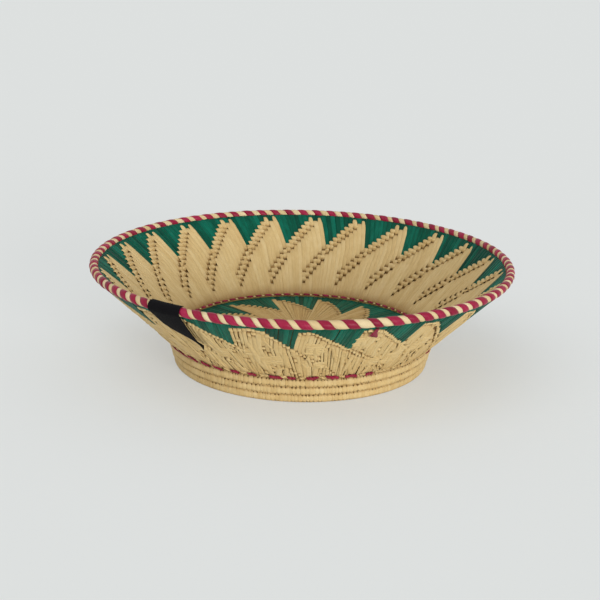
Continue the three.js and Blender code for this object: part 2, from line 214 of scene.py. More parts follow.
class NodeSketch:
    """Short calls for the nodes of a material or of the world."""

    def __init__(self, owner: bpy.types.Material | bpy.types.World, shader: str) -> None:
        """Starts from the shader that the owner comes with.

        Args:
            owner: What the nodes belong to.
            shader: Name of that shader's node.
        """
        owner.use_nodes = True
        self.tree = owner.node_tree
        self.shader = self.tree.nodes[shader]

    def fill(self, node: bpy.types.Node, inputs: dict[str | int, object]) -> None:
        """Gives a node's inputs links from sockets, or plain values.

        Args:
            node: The node.
            inputs: Sockets and plain values, by the name or number of the input.
        """
        for key, value in inputs.items():
            if isinstance(value, Socket):
                self.tree.links.new(value, node.inputs[key])
            else:
                node.inputs[key].default_value = value

    def node(self, kind: str, inputs: dict[str | int, object], **settings: str) -> bpy.types.Node:
        """Adds a node.

        Args:
            kind: Its type, without the words that every such type starts with.
            inputs: What goes into its inputs.
            settings: Its own settings.

        Returns:
            The node.
        """
        node = self.tree.nodes.new("ShaderNode" + kind)
        for name, value in settings.items():
            setattr(node, name, value)
        self.fill(node, inputs)
        return node

    def attribute(self, name: str, output: str) -> Socket:
        """Socket that reads a mesh attribute."""
        return self.node("Attribute", {}, attribute_name=name).outputs[output]

    def math(self, operation: str, first: Value, second: Value = 0.0) -> Socket:
        """Result of one sum on two values."""
        return self.node("Math", {0: first, 1: second}, operation=operation).outputs[0]

    def scaled(self, value: Value, factor: Value, shift: Value) -> Socket:
        """A value times a factor, plus a shift."""
        return self.math("ADD", self.math("MULTIPLY", value, factor), shift)

    def weigh(self, value: Socket, share: float) -> Socket:
        """How far a value from 0 to 1 is from its middle, times a share."""
        return self.math("MULTIPLY", self.math("SUBTRACT", value, 0.5), share)

    def vector(self, *parts: Value) -> Socket:
        """Vector made of three values."""
        return self.node("CombineXYZ", dict(enumerate(parts))).outputs[0]

    def split(self, vector: Socket) -> list[Socket]:
        """The three parts of a vector."""
        return list(self.node("SeparateXYZ", {0: vector}).outputs)

    def noise(self, vector: Socket, detail: float, scale: float = 1.0) -> Socket:
        """Noise from about 0 to 1 at a place, with finer layers on it."""
        inputs = {"Vector": vector, "Scale": scale, "Detail": detail, "Roughness": NOISE_ROUGHNESS}
        return self.node("TexNoise", inputs).outputs[0]

    def grain(self, lay: Sequence[Socket], fineness: tuple[float, float], detail: float) -> Socket:
        """Noise that is drawn out along a strip, and another one for each strip.

        Args:
            lay: Distance across the strip, distance along it, and a shift of its own.
            fineness: Fineness of the noise across and along.
            detail: Number of finer layers.

        Returns:
            The noise's socket.
        """
        across, along, shift = lay
        shifted = self.scaled(across, fineness[0], shift)
        drawn_out = self.math("MULTIPLY", along, fineness[1])
        return self.noise(self.vector(shifted, drawn_out, shift), detail)

    def chance(self, value: Socket) -> Socket:
        """One random number from 0 to 1 for each value."""
        return self.node("TexWhiteNoise", {"W": value}, noise_dimensions="1D").outputs["Value"]

    def ramp(self, value: Socket, stops: Sequence[tuple[float, Colour]]) -> Socket:
        """Colour ramp.

        Args:
            value: Place along it.
            stops: Places and linear colours.

        Returns:
            The colour's socket.
        """
        node = self.node("ValToRGB", {0: value})
        elements = node.color_ramp.elements
        while len(elements) < len(stops):
            elements.new(1.0)
        for element, (place, colour) in zip(elements, stops):
            element.position = place
            element.color = (*colour, 1)
        return node.outputs[0]

    def mix(self, share: Socket, first: Socket, second: Colour) -> Socket:
        """Mix of two colours, with a share of the second."""
        inputs = {"Factor": share, "A": first, "B": (*second, 1)}
        return self.node("Mix", inputs, data_type="RGBA").outputs["Result"]

    def bump(self, height: Socket, strength: float, depth: float) -> Socket:
        """Fine relief of a height from 0 to 1, with its depth in millimetres."""
        inputs = {"Height": height, "Strength": strength, "Distance": depth * MM}
        return self.node("Bump", inputs).outputs[0]

    def show_backdrop(self, kind: str, colour: Colour, most: float, output: str) -> None:
        """Shows a flat colour to rays of the camera, of gloss and through glass, and to no others.

        Args:
            kind: Type of the node that shines with the colour.
            colour: The colour.
            most: Share of it that those rays see. The rest is the sketch's own shader.
            output: Name of the tree's output node.
        """
        path = self.node("LightPath", {}).outputs
        rays = self.math("MAXIMUM", path["Is Camera Ray"], path["Is Glossy Ray"])
        rays = self.math("MAXIMUM", rays, path["Is Transmission Ray"])
        seen = self.node(kind, {"Color": (*colour, 1)}).outputs[0]
        share = self.math("MULTIPLY", rays, most)
        mixed = self.node("MixShader", {0: share, 1: self.shader.outputs[0], 2: seen})
        self.fill(self.tree.nodes[output], {"Surface": mixed.outputs[0]})


@dataclass(frozen=True)
class Finish:
    """What every finish has: its name, and a slot of the record."""

    name: str
    slot: Slot

    @cache
    def material(self) -> bpy.types.Material:
        """The finish's material, made when a piece first needs it.

        Returns:
            The same material each time.
        """
        material = bpy.data.materials.new(self.name)
        sketch = NodeSketch(material, "Principled BSDF")
        sketch.fill(sketch.shader, self.draw(sketch))
        return material

    def draw(self, sketch: NodeSketch) -> dict[str, object]:
        """Draws the finish's own nodes, and gives the shader's inputs."""
        raise NotImplementedError


@dataclass(frozen=True)
class StrawFinish(Finish):
    """Straw with fibres along it, a tone for each strip and painted shade where strips tuck in."""

    deep: Colour
    body: Colour
    pale: Colour
    # Colour of the painted shade, which darkens the straw where strips tuck in.
    shade_colour: Colour
    roughness: float = 0.55
    specular: float = 0.25
    streak_share: float = 0.3
    blotch_share: float = 0.45
    tone_share: float = 0.4
    relief: float = 0.25
    relief_depth: float = 0.25
    streaks_per_mm: tuple[float, float] = (2.6, 0.09)
    blotches_per_mm: tuple[float, float] = (0.35, 0.16)
    seed_shift: float = 61.0
    ramp_places: tuple[float, float, float] = (0.12, 0.5, 0.88)

    def draw(self, sketch: NodeSketch) -> dict[str, object]:
        """Draws fibres, blotches and tones from the strips' lay, and mixes in painted shade.

        Args:
            sketch: Nodes of the material.

        Returns:
            Inputs of the shader.
        """
        across, along, seed = sketch.split(sketch.attribute("lay", "Vector"))
        lay = (across, along, sketch.math("MULTIPLY", seed, self.seed_shift))
        fibres = sketch.grain(lay, self.streaks_per_mm, detail=3.0)
        blotches = sketch.grain(lay, self.blotches_per_mm, detail=2.0)
        shares = ((blotches, self.blotch_share), (sketch.chance(seed), self.tone_share))
        place = sketch.weigh(fibres, self.streak_share)
        for value, share in shares:
            place = sketch.math("ADD", place, sketch.weigh(value, share))
        place = sketch.math("ADD", place, 0.5)
        colour = sketch.ramp(place, list(zip(self.ramp_places, (self.deep, self.body, self.pale))))
        # Painted shade: the darker colour is mixed in by each point's share of shade, made uneven by
        # the blotches.
        uneven = sketch.math("ADD", blotches, 0.5)
        shade_share = sketch.math("MULTIPLY", sketch.attribute("age", "Fac"), uneven)
        return {
            "Base Color": sketch.mix(shade_share, colour, self.shade_colour),
            "Roughness": self.roughness,
            "Specular IOR Level": self.specular,
            "Normal": sketch.bump(fibres, self.relief, self.relief_depth),
        }


@dataclass(frozen=True)
class WoundFinish(Finish):
    """A bundle of grass with strips wound round it, for coils that are seen only from below."""

    seam: Colour
    body: Colour
    pale: Colour
    strips_per_mm: float = 0.5
    wander: float = 0.4
    squareness: float = 6.0
    tone_share: float = 0.5
    roughness: float = 0.65
    relief: float = 0.8
    relief_depth: float = 0.4

    def draw(self, sketch: NodeSketch) -> dict[str, object]:
        """Draws the turns of the strips from the coil's lay.

        Args:
            sketch: Nodes of the material.

        Returns:
            Inputs of the shader.
        """
        lay = sketch.attribute("lay", "Vector")
        _across, along, seed = sketch.split(lay)
        wander = sketch.noise(lay, detail=1.0, scale=self.wander)
        turns = sketch.scaled(along, self.strips_per_mm, wander)
        middle = sketch.math("ABSOLUTE", sketch.math("SUBTRACT", sketch.math("FRACT", turns), 0.5))
        edge = sketch.math("POWER", sketch.math("MULTIPLY", middle, 2.0), self.squareness)
        crown = sketch.math("SUBTRACT", 1.0, edge)
        tone = sketch.chance(sketch.math("ADD", sketch.math("FLOOR", turns), seed))
        bright = sketch.scaled(tone, self.tone_share, 1 - self.tone_share)
        place = sketch.math("MULTIPLY", crown, bright)
        return {
            "Base Color": sketch.ramp(place, [(0.0, self.seam), (0.5, self.body), (1.0, self.pale)]),
            "Roughness": self.roughness,
            "Normal": sketch.bump(crown, self.relief, self.relief_depth),
        }


@dataclass(frozen=True)
class ClothFinish(Finish):
    """Plain woven cloth with its warp and weft in relief."""

    body: Colour
    pale: Colour
    threads_per_mm: float = 2.2
    lint: float = 0.5
    lint_share: float = 0.65
    ramp_places: tuple[float, float] = (0.25, 0.9)
    roughness: float = 0.85
    specular: float = 0.12
    relief: float = 0.5
    relief_depth: float = 0.15

    def draw(self, sketch: NodeSketch) -> dict[str, object]:
        """Draws threads and lint from the cloth's lay.

        Args:
            sketch: Nodes of the material.

        Returns:
            Inputs of the shader.
        """
        lay = sketch.attribute("lay", "Vector")
        turn = 2 * math.pi * self.threads_per_mm
        turns = (sketch.math("MULTIPLY", part, turn) for part in sketch.split(lay)[:2])
        warp, weft = (sketch.math("SINE", part) for part in turns)
        threads = sketch.scaled(sketch.math("MULTIPLY", warp, weft), 0.5, 0.5)
        lint = sketch.noise(lay, detail=3.0, scale=self.lint)
        lint = sketch.math("MULTIPLY", lint, self.lint_share)
        place = sketch.scaled(threads, 1 - self.lint_share, lint)
        return {
            "Base Color": sketch.ramp(place, list(zip(self.ramp_places, (self.body, self.pale)))),
            "Roughness": self.roughness,
            "Specular IOR Level": self.specular,
            "Normal": sketch.bump(threads, self.relief, self.relief_depth),
        }


# In each straw finish the last colour is that of its painted shade.
STRAW = StrawFinish(
    name="natural_straw",
    slot=Slot.STRAW,
    deep=linear(190, 156, 98),
    body=linear(214, 186, 130),
    pale=linear(230, 208, 158),
    shade_colour=linear(150, 110, 58),
    tone_share=0.22,
)
PALE_STRAW = StrawFinish(
    name="pale_straw",
    slot=Slot.STRAW,
    deep=linear(200, 171, 118),
    body=linear(217, 194, 148),
    pale=linear(232, 214, 178),
    shade_colour=linear(170, 134, 84),
)
# A darker, browner copy of the straw for the floor's petals: painted shade of the wall over the
# floor.
SHADED_FLOOR_STRAW = StrawFinish(
    name="shaded_floor_straw",
    slot=Slot.STRAW,
    deep=linear(170, 132, 76),
    body=linear(198, 165, 106),
    pale=linear(214, 188, 136),
    shade_colour=linear(132, 94, 46),
    tone_share=0.3,
    streak_share=0.35,
)
GREEN = StrawFinish(
    name="green_dyed_straw",
    slot=Slot.GREEN,
    deep=linear(0, 50, 38),
    body=linear(0, 82, 62),
    pale=linear(12, 118, 96),
    shade_colour=linear(0, 34, 24),
    roughness=0.45,
    specular=0.1,
    tone_share=0.5,
)
MAGENTA = StrawFinish(
    name="magenta_dyed_straw",
    slot=Slot.MAGENTA,
    deep=linear(112, 8, 36),
    body=linear(146, 18, 54),
    pale=linear(174, 38, 78),
    shade_colour=linear(84, 12, 32),
    roughness=0.4,
    streak_share=0.5,
    tone_share=0.35,
    relief=0.35,
)
CORE = StrawFinish(
    name="dark_grass_bundle",
    slot=Slot.DARK_STRAW,
    deep=linear(110, 78, 38),
    body=linear(150, 112, 60),
    pale=linear(186, 150, 92),
    shade_colour=linear(72, 50, 24),
    roughness=0.8,
    specular=0.35,
    streak_share=0.5,
    tone_share=0.5,
    relief=0.35,
)
WOUND = WoundFinish(
    name="wound_straw",
    slot=Slot.DARK_STRAW,
    seam=linear(96, 68, 34),
    body=linear(190, 158, 104),
    pale=linear(216, 188, 136),
)
CLOTH = ClothFinish(
    name="black_cloth",
    slot=Slot.CLOTH,
    body=linear(5, 4, 6),
    pale=linear(18, 16, 20),
)


@dataclass
class Strips:
    """Strips beside each other: each row of an array is one strip and each column one ring of it.

    A crosswise strip runs round the basket, so its half width is measured in levels.
    """

    azimuth: Array
    level: Array
    half_width: Array | float
    base: Array | float
    thickness: Array | float
    seed: Array
    # Share of painted shade at each point.
    age: Array | float = 0.0
    crosswise: bool = False

    def __post_init__(self) -> None:
        """Brings all the arrays but the seeds to one shape."""
        parts = (self.azimuth, self.level, self.half_width, self.base, self.thickness, self.age)
        parts = np.broadcast_arrays(*parts)
        self.azimuth, self.level, self.half_width, self.base, self.thickness, self.age = parts

    def chosen(self, kept: Array) -> Strips:
        """Only the strips that are kept."""
        names = ("azimuth", "level", "half_width", "base", "thickness", "seed", "age")
        return replace(self, **{name: getattr(self, name)[kept] for name in names})


class Weave:
    """Collects strips and coils, and writes them as one mesh with their lay as attributes."""

    def __init__(self) -> None:
        """Starts an empty weave."""
        self.points: list[Array] = []
        self.lays: list[Array] = []
        self.ages: list[Array] = []
        self.quads: list[Array] = []
        self.count = 0

    def add_grid(self, points: Array, lay: Array, age: Array | float, closed: bool = False) -> None:
        """Adds tubes, each a row of rings of the same even number of points.

        Args:
            points: Array of strips, rings, points round a ring and coordinates.
            lay: Array of the same shape: distance across, distance along and seed.
            age: Shares of painted shade at the points.
            closed: Whether the last ring joins the first.
        """
        strips, rings, sides = points.shape[:3]
        number = np.arange(strips * rings * sides).reshape(strips, rings, sides) + self.count
        joined = rings if closed else rings - 1
        here, ahead = number[:, :joined], np.roll(number, -1, axis=1)[:, :joined]
        beside, beside_ahead = (np.roll(part, -1, axis=2) for part in (here, ahead))
        self.quads.append(np.stack([here, beside, beside_ahead, ahead], axis=-1).reshape(-1, 4))
        for step in range(0 if closed else sides // 2 - 1):
            corners = [step, step + 1, sides - 2 - step, sides - 1 - step]
            self.quads.append(number[:, 0][:, corners[::-1]])
            self.quads.append(number[:, -1][:, corners])
        self.points.append(points.reshape(-1, 3))
        self.lays.append(lay.reshape(-1, 3))
        self.ages.append(np.broadcast_to(age, number.shape).ravel())
        self.count += number.size

    def add_strips(self, surface: Surface, strips: Strips) -> Weave:
        """Adds flat crowned strips that lie on a surface, with their faces out.

        Args:
            surface: What the strips lie on.
            strips: Their places and sizes.

        Returns:
            The weave itself.
        """
        azimuth, level = strips.azimuth[..., None], strips.level[..., None]
        side_step = strips.half_width[..., None] * STRIP_ACROSS
        offset = strips.base[..., None] + strips.thickness[..., None] * STRIP_RISE
        if strips.crosswise:
            radius, height = surface.profile(level + side_step, offset)
            steps = np.radians(np.diff(strips.azimuth, axis=1)) * radius[:, 1:, 0]
        else:
            radius, height = surface.profile(level, offset)
            steps = np.hypot(*(np.diff(part[..., 0], axis=1) for part in (radius, height)))
            azimuth = azimuth + np.degrees(side_step / np.maximum(radius, 1))
        points = polar(azimuth, radius, height)
        along = np.pad(np.cumsum(steps, axis=1), ((0, 0), (1, 0)))
        lay = stacked(side_step, along[..., None], strips.seed[:, None, None])
        # Sides 0 and 5 are a strip's edges, and 2 and 3 its crown. The rings run the other way round
        # where the faces would look into the strips
        edge, crown, next_crown, next_edge = (points[:, :-1, side] for side in (0, 2, 3, 5))
        normal = np.cross(next_crown - crown, points[:, 1:, 2] - crown)
        if np.sum(normal * (crown + next_crown - edge - next_edge)) < 0:
            points, lay = points[:, :, ::-1], lay[:, :, ::-1]
        self.add_grid(points, lay, strips.age[..., None])
        return self

    def add_coil(self, ring: Ring, half_height: float, rings: int, seed: float) -> None:
        """Adds one closed round of a bundle of grass.

        Args:
            ring: The place and form of its section.
            half_height: Half the height of its section.
            rings: Number of rings.
            seed: Seed of its finish.
        """
        azimuth = np.linspace(0, 360, rings, endpoint=False)[None, :, None]
        around = np.linspace(0, 360, COIL_SIDES, endpoint=False)
        points = polar(azimuth, *ring.profile(around, half_height))
        lay = stacked(np.radians(around) * half_height, np.radians(azimuth) * ring.radius, seed)
        self.add_grid(points, lay, 0.0, closed=True)

    def build(self, name: str, finish: Finish, *nodes: str) -> bpy.types.Object:
        """Writes the mesh as a piece of the basket, and ties it to the frame.

        Args:
            name: Name of the piece.
            finish: Its finish.
            nodes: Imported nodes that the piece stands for.

        Returns:
            The new piece.
        """
        points = np.concatenate(self.points) * MM
        quads = np.concatenate(self.quads)
        mesh = bpy.data.meshes.new(name)
        mesh.vertices.add(len(points))
        mesh.vertices.foreach_set("co", points.astype(np.float32).ravel())
        mesh.loops.add(quads.size)
        mesh.loops.foreach_set("vertex_index", quads.astype(np.int32).ravel())
        mesh.polygons.add(len(quads))
        mesh.polygons.foreach_set("loop_start", np.arange(0, quads.size, 4, dtype=np.int32))
        lay = mesh.attributes.new("lay", "FLOAT_VECTOR", "POINT")
        lay.data.foreach_set("vector", np.concatenate(self.lays).astype(np.float32).ravel())
        # Each point's share of painted shade, which the straw finishes mix in as a darker colour.
        age = mesh.attributes.new("age", "FLOAT", "POINT")
        age.data.foreach_set("value", np.concatenate(self.ages).astype(np.float32))
        mesh.update(calc_edges=True)
        mesh.polygons.foreach_set("use_smooth", np.ones(len(quads), dtype=bool))
        mesh.set_sharp_from_angle(angle=math.radians(SHARP_EDGE))
        mesh.materials.append(finish.material())
        piece = bpy.data.objects.new(name, mesh)
        bpy.context.scene.collection.objects.link(piece)
        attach(piece, "root")
        if nodes:
            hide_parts(*nodes)
        LOG.info("%s: %d points", name, len(points))
        return piece


@dataclass(frozen=True)
class BasketSizes:
    """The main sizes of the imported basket.

    The middle of the wall starts wall_inset inside the foot's edge and wall_rise above its top.
    """

    rim_radius: float
    rim_height: float
    rim_half: float
    foot_radius: float
    foot_top: float
    floor_top: float
    floor_bottom: float
    floor_radius: float
    wall_inset: float = 1.0
    wall_rise: float = 2.67

    @classmethod
    def from_frame(cls) -> BasketSizes:
        """Reads the sizes from the frame.

        Returns:
            The sizes in millimetres.
        """
        rim_low, rim_high = (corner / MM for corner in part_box("rim_wrap_magenta"))
        foot_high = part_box("foot_coil")[1] / MM
        floor_low, floor_high = (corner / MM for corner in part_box("floor_coil"))
        rim_half = (rim_high.z - rim_low.z) / 2
        return cls(
            rim_radius=(rim_high.x - rim_low.x) / 2 - rim_half,
            rim_height=rim_high.z - rim_half,
            rim_half=rim_half,
            foot_radius=foot_high.x,
            foot_top=foot_high.z,
            floor_top=floor_high.z,
            floor_bottom=floor_low.z,
            floor_radius=floor_high.x,
        )

    def wall(self, side: Side) -> Cone:
        """The surface that the strips of one face of the wall lie on."""
        start = (self.foot_radius - self.wall_inset, self.foot_top + self.wall_rise)
        return Cone(*start, self.rim_radius, self.rim_height, side)


@dataclass(frozen=True)
class FloatLay:
    """How a long strip lies: flat on what is under it, with both ends tucked in.

    Its first and last two rings lie close to its ends, at most at the distances of end_rings, and at
    the shares of its length that end_shares gives where it is short. A slit strip is narrower.
    """

    height: float
    thickness: float = 0.5
    tuck: float = 1.3
    tuck_reach: float = 0.8
    width_share: float = 1.0
    width_jitter: float = 0.06
    height_jitter: float = 0.12
    drift: float = 0.05
    # Painted shade: darker near the tucked ends and towards the foot of the wall, up to a greatest
    # share.
    end_shade: float = 0.55
    end_shade_reach: float = 1.4
    foot_shade: float = 0.0
    foot_shade_reach: float = 4.0
    most_shade: float = 0.95
    rings: int = 10
    end_rings: tuple[float, float] = (0.7, 2.0)
    end_shares: tuple[float, float] = (0.12, 0.3)
    pointed: float = 0.0
    point_width: float = 0.12
    slit_share: float = 0.0
    slit_width: float = 0.74

    def steps(self, length: Array) -> Array:
        """Distances of a strip's rings from its upper end.

        Args:
            length: Lengths of the strips, as a column.

        Returns:
            An array of strips and rings.
        """
        ends = zip(self.end_rings, self.end_shares)
        near, next_near = (np.minimum(most, share * length) for most, share in ends)
        middle = next_near + (length - 2 * next_near) * np.linspace(0, 1, self.rings - 4)
        return np.concatenate([0 * length, near, middle, length - near, length], axis=1)


@dataclass(frozen=True)
class StitchForm:
    """The form of a short raised stitch: its height and its width at places from its upper end."""

    rise: tuple[float, ...]
    swell: tuple[float, ...]
    places: tuple[float, ...] = (0.0, 0.1, 0.24, 0.38, 0.5, 0.62, 0.76, 0.9, 1.0)
    lean: float = 0.2
    lean_jitter: float = 0.18
    crest_jitter: float = 0.12
    width_jitter: float = 0.06
    thickness: float = 0.5
    # Painted shade where a stitch dips low into the coil, up to a greatest share.
    low_shade: float = 0.45
    unshaded_rise: float = 0.8
    most_shade: float = 0.7


DIVING_STITCH = StitchForm(
    rise=(-0.5, 0.4, 0.9, 0.6, 0.15, 0.6, 0.9, 0.4, -0.5),
    swell=(0.6, 1.0, 1.2, 1.0, 0.8, 1.0, 1.2, 1.0, 0.5),
)
HANGING_STITCH = StitchForm(
    rise=(0.0, 0.65, 1.0, 0.7, 0.2, 0.6, 0.9, 0.3, -0.5),
    swell=(0.9, 1.15, 1.25, 1.05, 0.8, 1.05, 1.2, 0.9, 0.5),
)
TIP_STITCH = StitchForm(
    rise=(-0.4, 0.5, 0.85, 0.9, 0.8, 0.6, 0.8, 0.3, -0.5),
    swell=(0.45, 0.65, 0.85, 0.95, 1.0, 1.0, 1.1, 0.9, 0.5),
)
FLAT_STITCH = StitchForm(
    rise=(-0.6, 0.2, 0.75, 0.95, 1.0, 0.95, 0.75, 0.2, -0.6),
    swell=(0.75, 0.95, 1.0, 1.0, 1.0, 1.0, 1.0, 0.95, 0.75),
)


@dataclass
class StrawPart:
    """A sub-assembly made of strips, with its own source of small differences."""

    sizes: BasketSizes
    seed: int = 0

    def __post_init__(self) -> None:
        """Starts the source of the differences."""
        self.rng = np.random.default_rng(self.seed)

    def jitter(self, spread: float, *shape: int) -> Array:
        """Small random differences to either side."""
        return self.rng.uniform(-spread, spread, shape)

    def seeds(self, count: int) -> Array:
        """Seeds of the finish, one for each strip."""
        return self.rng.uniform(0, 1, count)

    def wave(self, azimuth: Array, *waves: int) -> Array:
        """Slow random variation round the basket, which closes on itself.

        Args:
            azimuth: Azimuths to vary at.
            waves: Numbers of waves in one turn.

        Returns:
            Values mostly from -1 to 1, shaped as azimuth.
        """
        total = np.zeros_like(azimuth, dtype=float)
        for count in waves:
            size = self.rng.uniform(0.5, 1)
            total += size * np.cos(np.radians(count * azimuth + self.rng.uniform(0, 360)))
        return total / math.sqrt(len(waves))

    def floats(
        self,
        azimuth_at: Callable[[Array], Array],
        top: Array,
        bottom: Array,
        widths: tuple[Array, Array],
        lay: FloatLay,
    ) -> Strips:
        """Long strips that run down a surface.

        Args:
            azimuth_at: Function that gives azimuths from levels, one row for each strip.
            top: Upper ends.
            bottom: Lower ends.
            widths: Widths of the columns at the upper end and at the lower end.
            lay: How the strips lie.

        Returns:
            The strips.
        """
        rows = (len(top), 1)
        length = (top - bottom)[:, None]
        steps = lay.steps(length)
        level, share = top[:, None] - steps, steps / length
        ends = np.minimum(steps, length - steps)
        own_width = lay.width_share * (1 + lay.width_jitter * self.rng.standard_normal(rows))
        own_width = np.where(self.rng.random(rows) < lay.slit_share, lay.slit_width, own_width)
        upper, lower = (width[:, None] for width in widths)
        half = 0.5 * own_width * (upper * (1 - share) + lower * share)
        if lay.pointed:
            half = half * np.clip(lay.point_width + steps / lay.pointed, 0, 1)
        lift = lay.height + lay.height_jitter * self.jitter(1, *rows)
        drift = self.rng.normal(0, lay.drift, rows) + self.rng.normal(0, lay.drift, rows) * share
        # Painted shade near the tucked ends, and towards the foot of the wall where it meets the
        # floor.
        age = lay.end_shade * np.exp(-ends / lay.end_shade_reach)
        age = age + lay.foot_shade * np.exp(-np.maximum(level, 0) / lay.foot_shade_reach)
        return Strips(
            azimuth=azimuth_at(level) + drift,
            level=level,
            half_width=half,
            base=lift - lay.tuck * np.exp(-ends / lay.tuck_reach),
            thickness=lay.thickness,
            seed=self.seeds(len(top)),
            age=np.clip(age, 0, lay.most_shade),
        )

    def stitches(
        self,
        azimuth_at: Callable[[Array], Array],
        top: Array,
        length: Array | float,
        width: Array,
        heights: tuple[float, float],
        form: StitchForm,
    ) -> Strips:
        """Short raised stitches over one row of the coil.

        Args:
            azimuth_at: Function that gives azimuths from levels, one row for each strip.
            top: Upper ends.
            length: Lengths.
            width: Widths.
            heights: Height that their form rises from, and height of their middle above that.
            form: Their form.

        Returns:
            The strips.
        """
        rows = (len(top), 1)
        share, rise, swell = (np.array(part) for part in (form.places, form.rise, form.swell))
        level = top[:, None] - share * np.reshape(length, (-1, 1))
        tilt = self.rng.normal(form.lean, form.lean_jitter, rows) * (share - 0.5)
        crest = heights[1] * (1 + form.crest_jitter * self.rng.standard_normal(rows))
        own_width = width[:, None] * (1 + form.width_jitter * self.rng.standard_normal(rows))
        return Strips(
            azimuth=azimuth_at(level) + tilt,
            level=level,
            half_width=0.5 * own_width * swell,
            base=heights[0] + crest * rise,
            thickness=form.thickness,
            seed=self.seeds(len(top)),
            # Painted shade where the stitch dips low.
            age=np.clip(form.low_shade * (form.unshaded_rise - rise), 0, form.most_shade),
        )


@dataclass
class WallFace(StrawPart):
    """One face of the wall, with strips that run down it in columns.

    Each kind sets the surface that they lie on, and the angle that each column takes up.
    """

    strip_height: float = 1.75
    stitch_sink: float = 0.6
    stitch_crest: float = 0.6

    @property
    def stitch_heights(self) -> tuple[float, float]:
        """Height that the stitches rise from, and height of their middle above that."""
        return self.strip_height - self.stitch_sink, self.stitch_crest

    def azimuth(self, column: Array, level: Array) -> Array:
        """Azimuths of columns at levels, with one row for each column."""
        raise NotImplementedError

    def width(self, column: Array, level: Array) -> Array:
        """Widths of columns at levels."""
        radius, _height = self.surface.profile(level, self.strip_height)
        return np.radians(self.angle[column]) * radius

    def columns(self, column: Array, top: Array, bottom: Array, lay: FloatLay) -> Strips:
        """Long strips down columns, from their upper to their lower ends."""
        widths = (self.width(column, top), self.width(column, bottom))
        return self.floats(partial(self.azimuth, column), top, bottom, widths, lay)


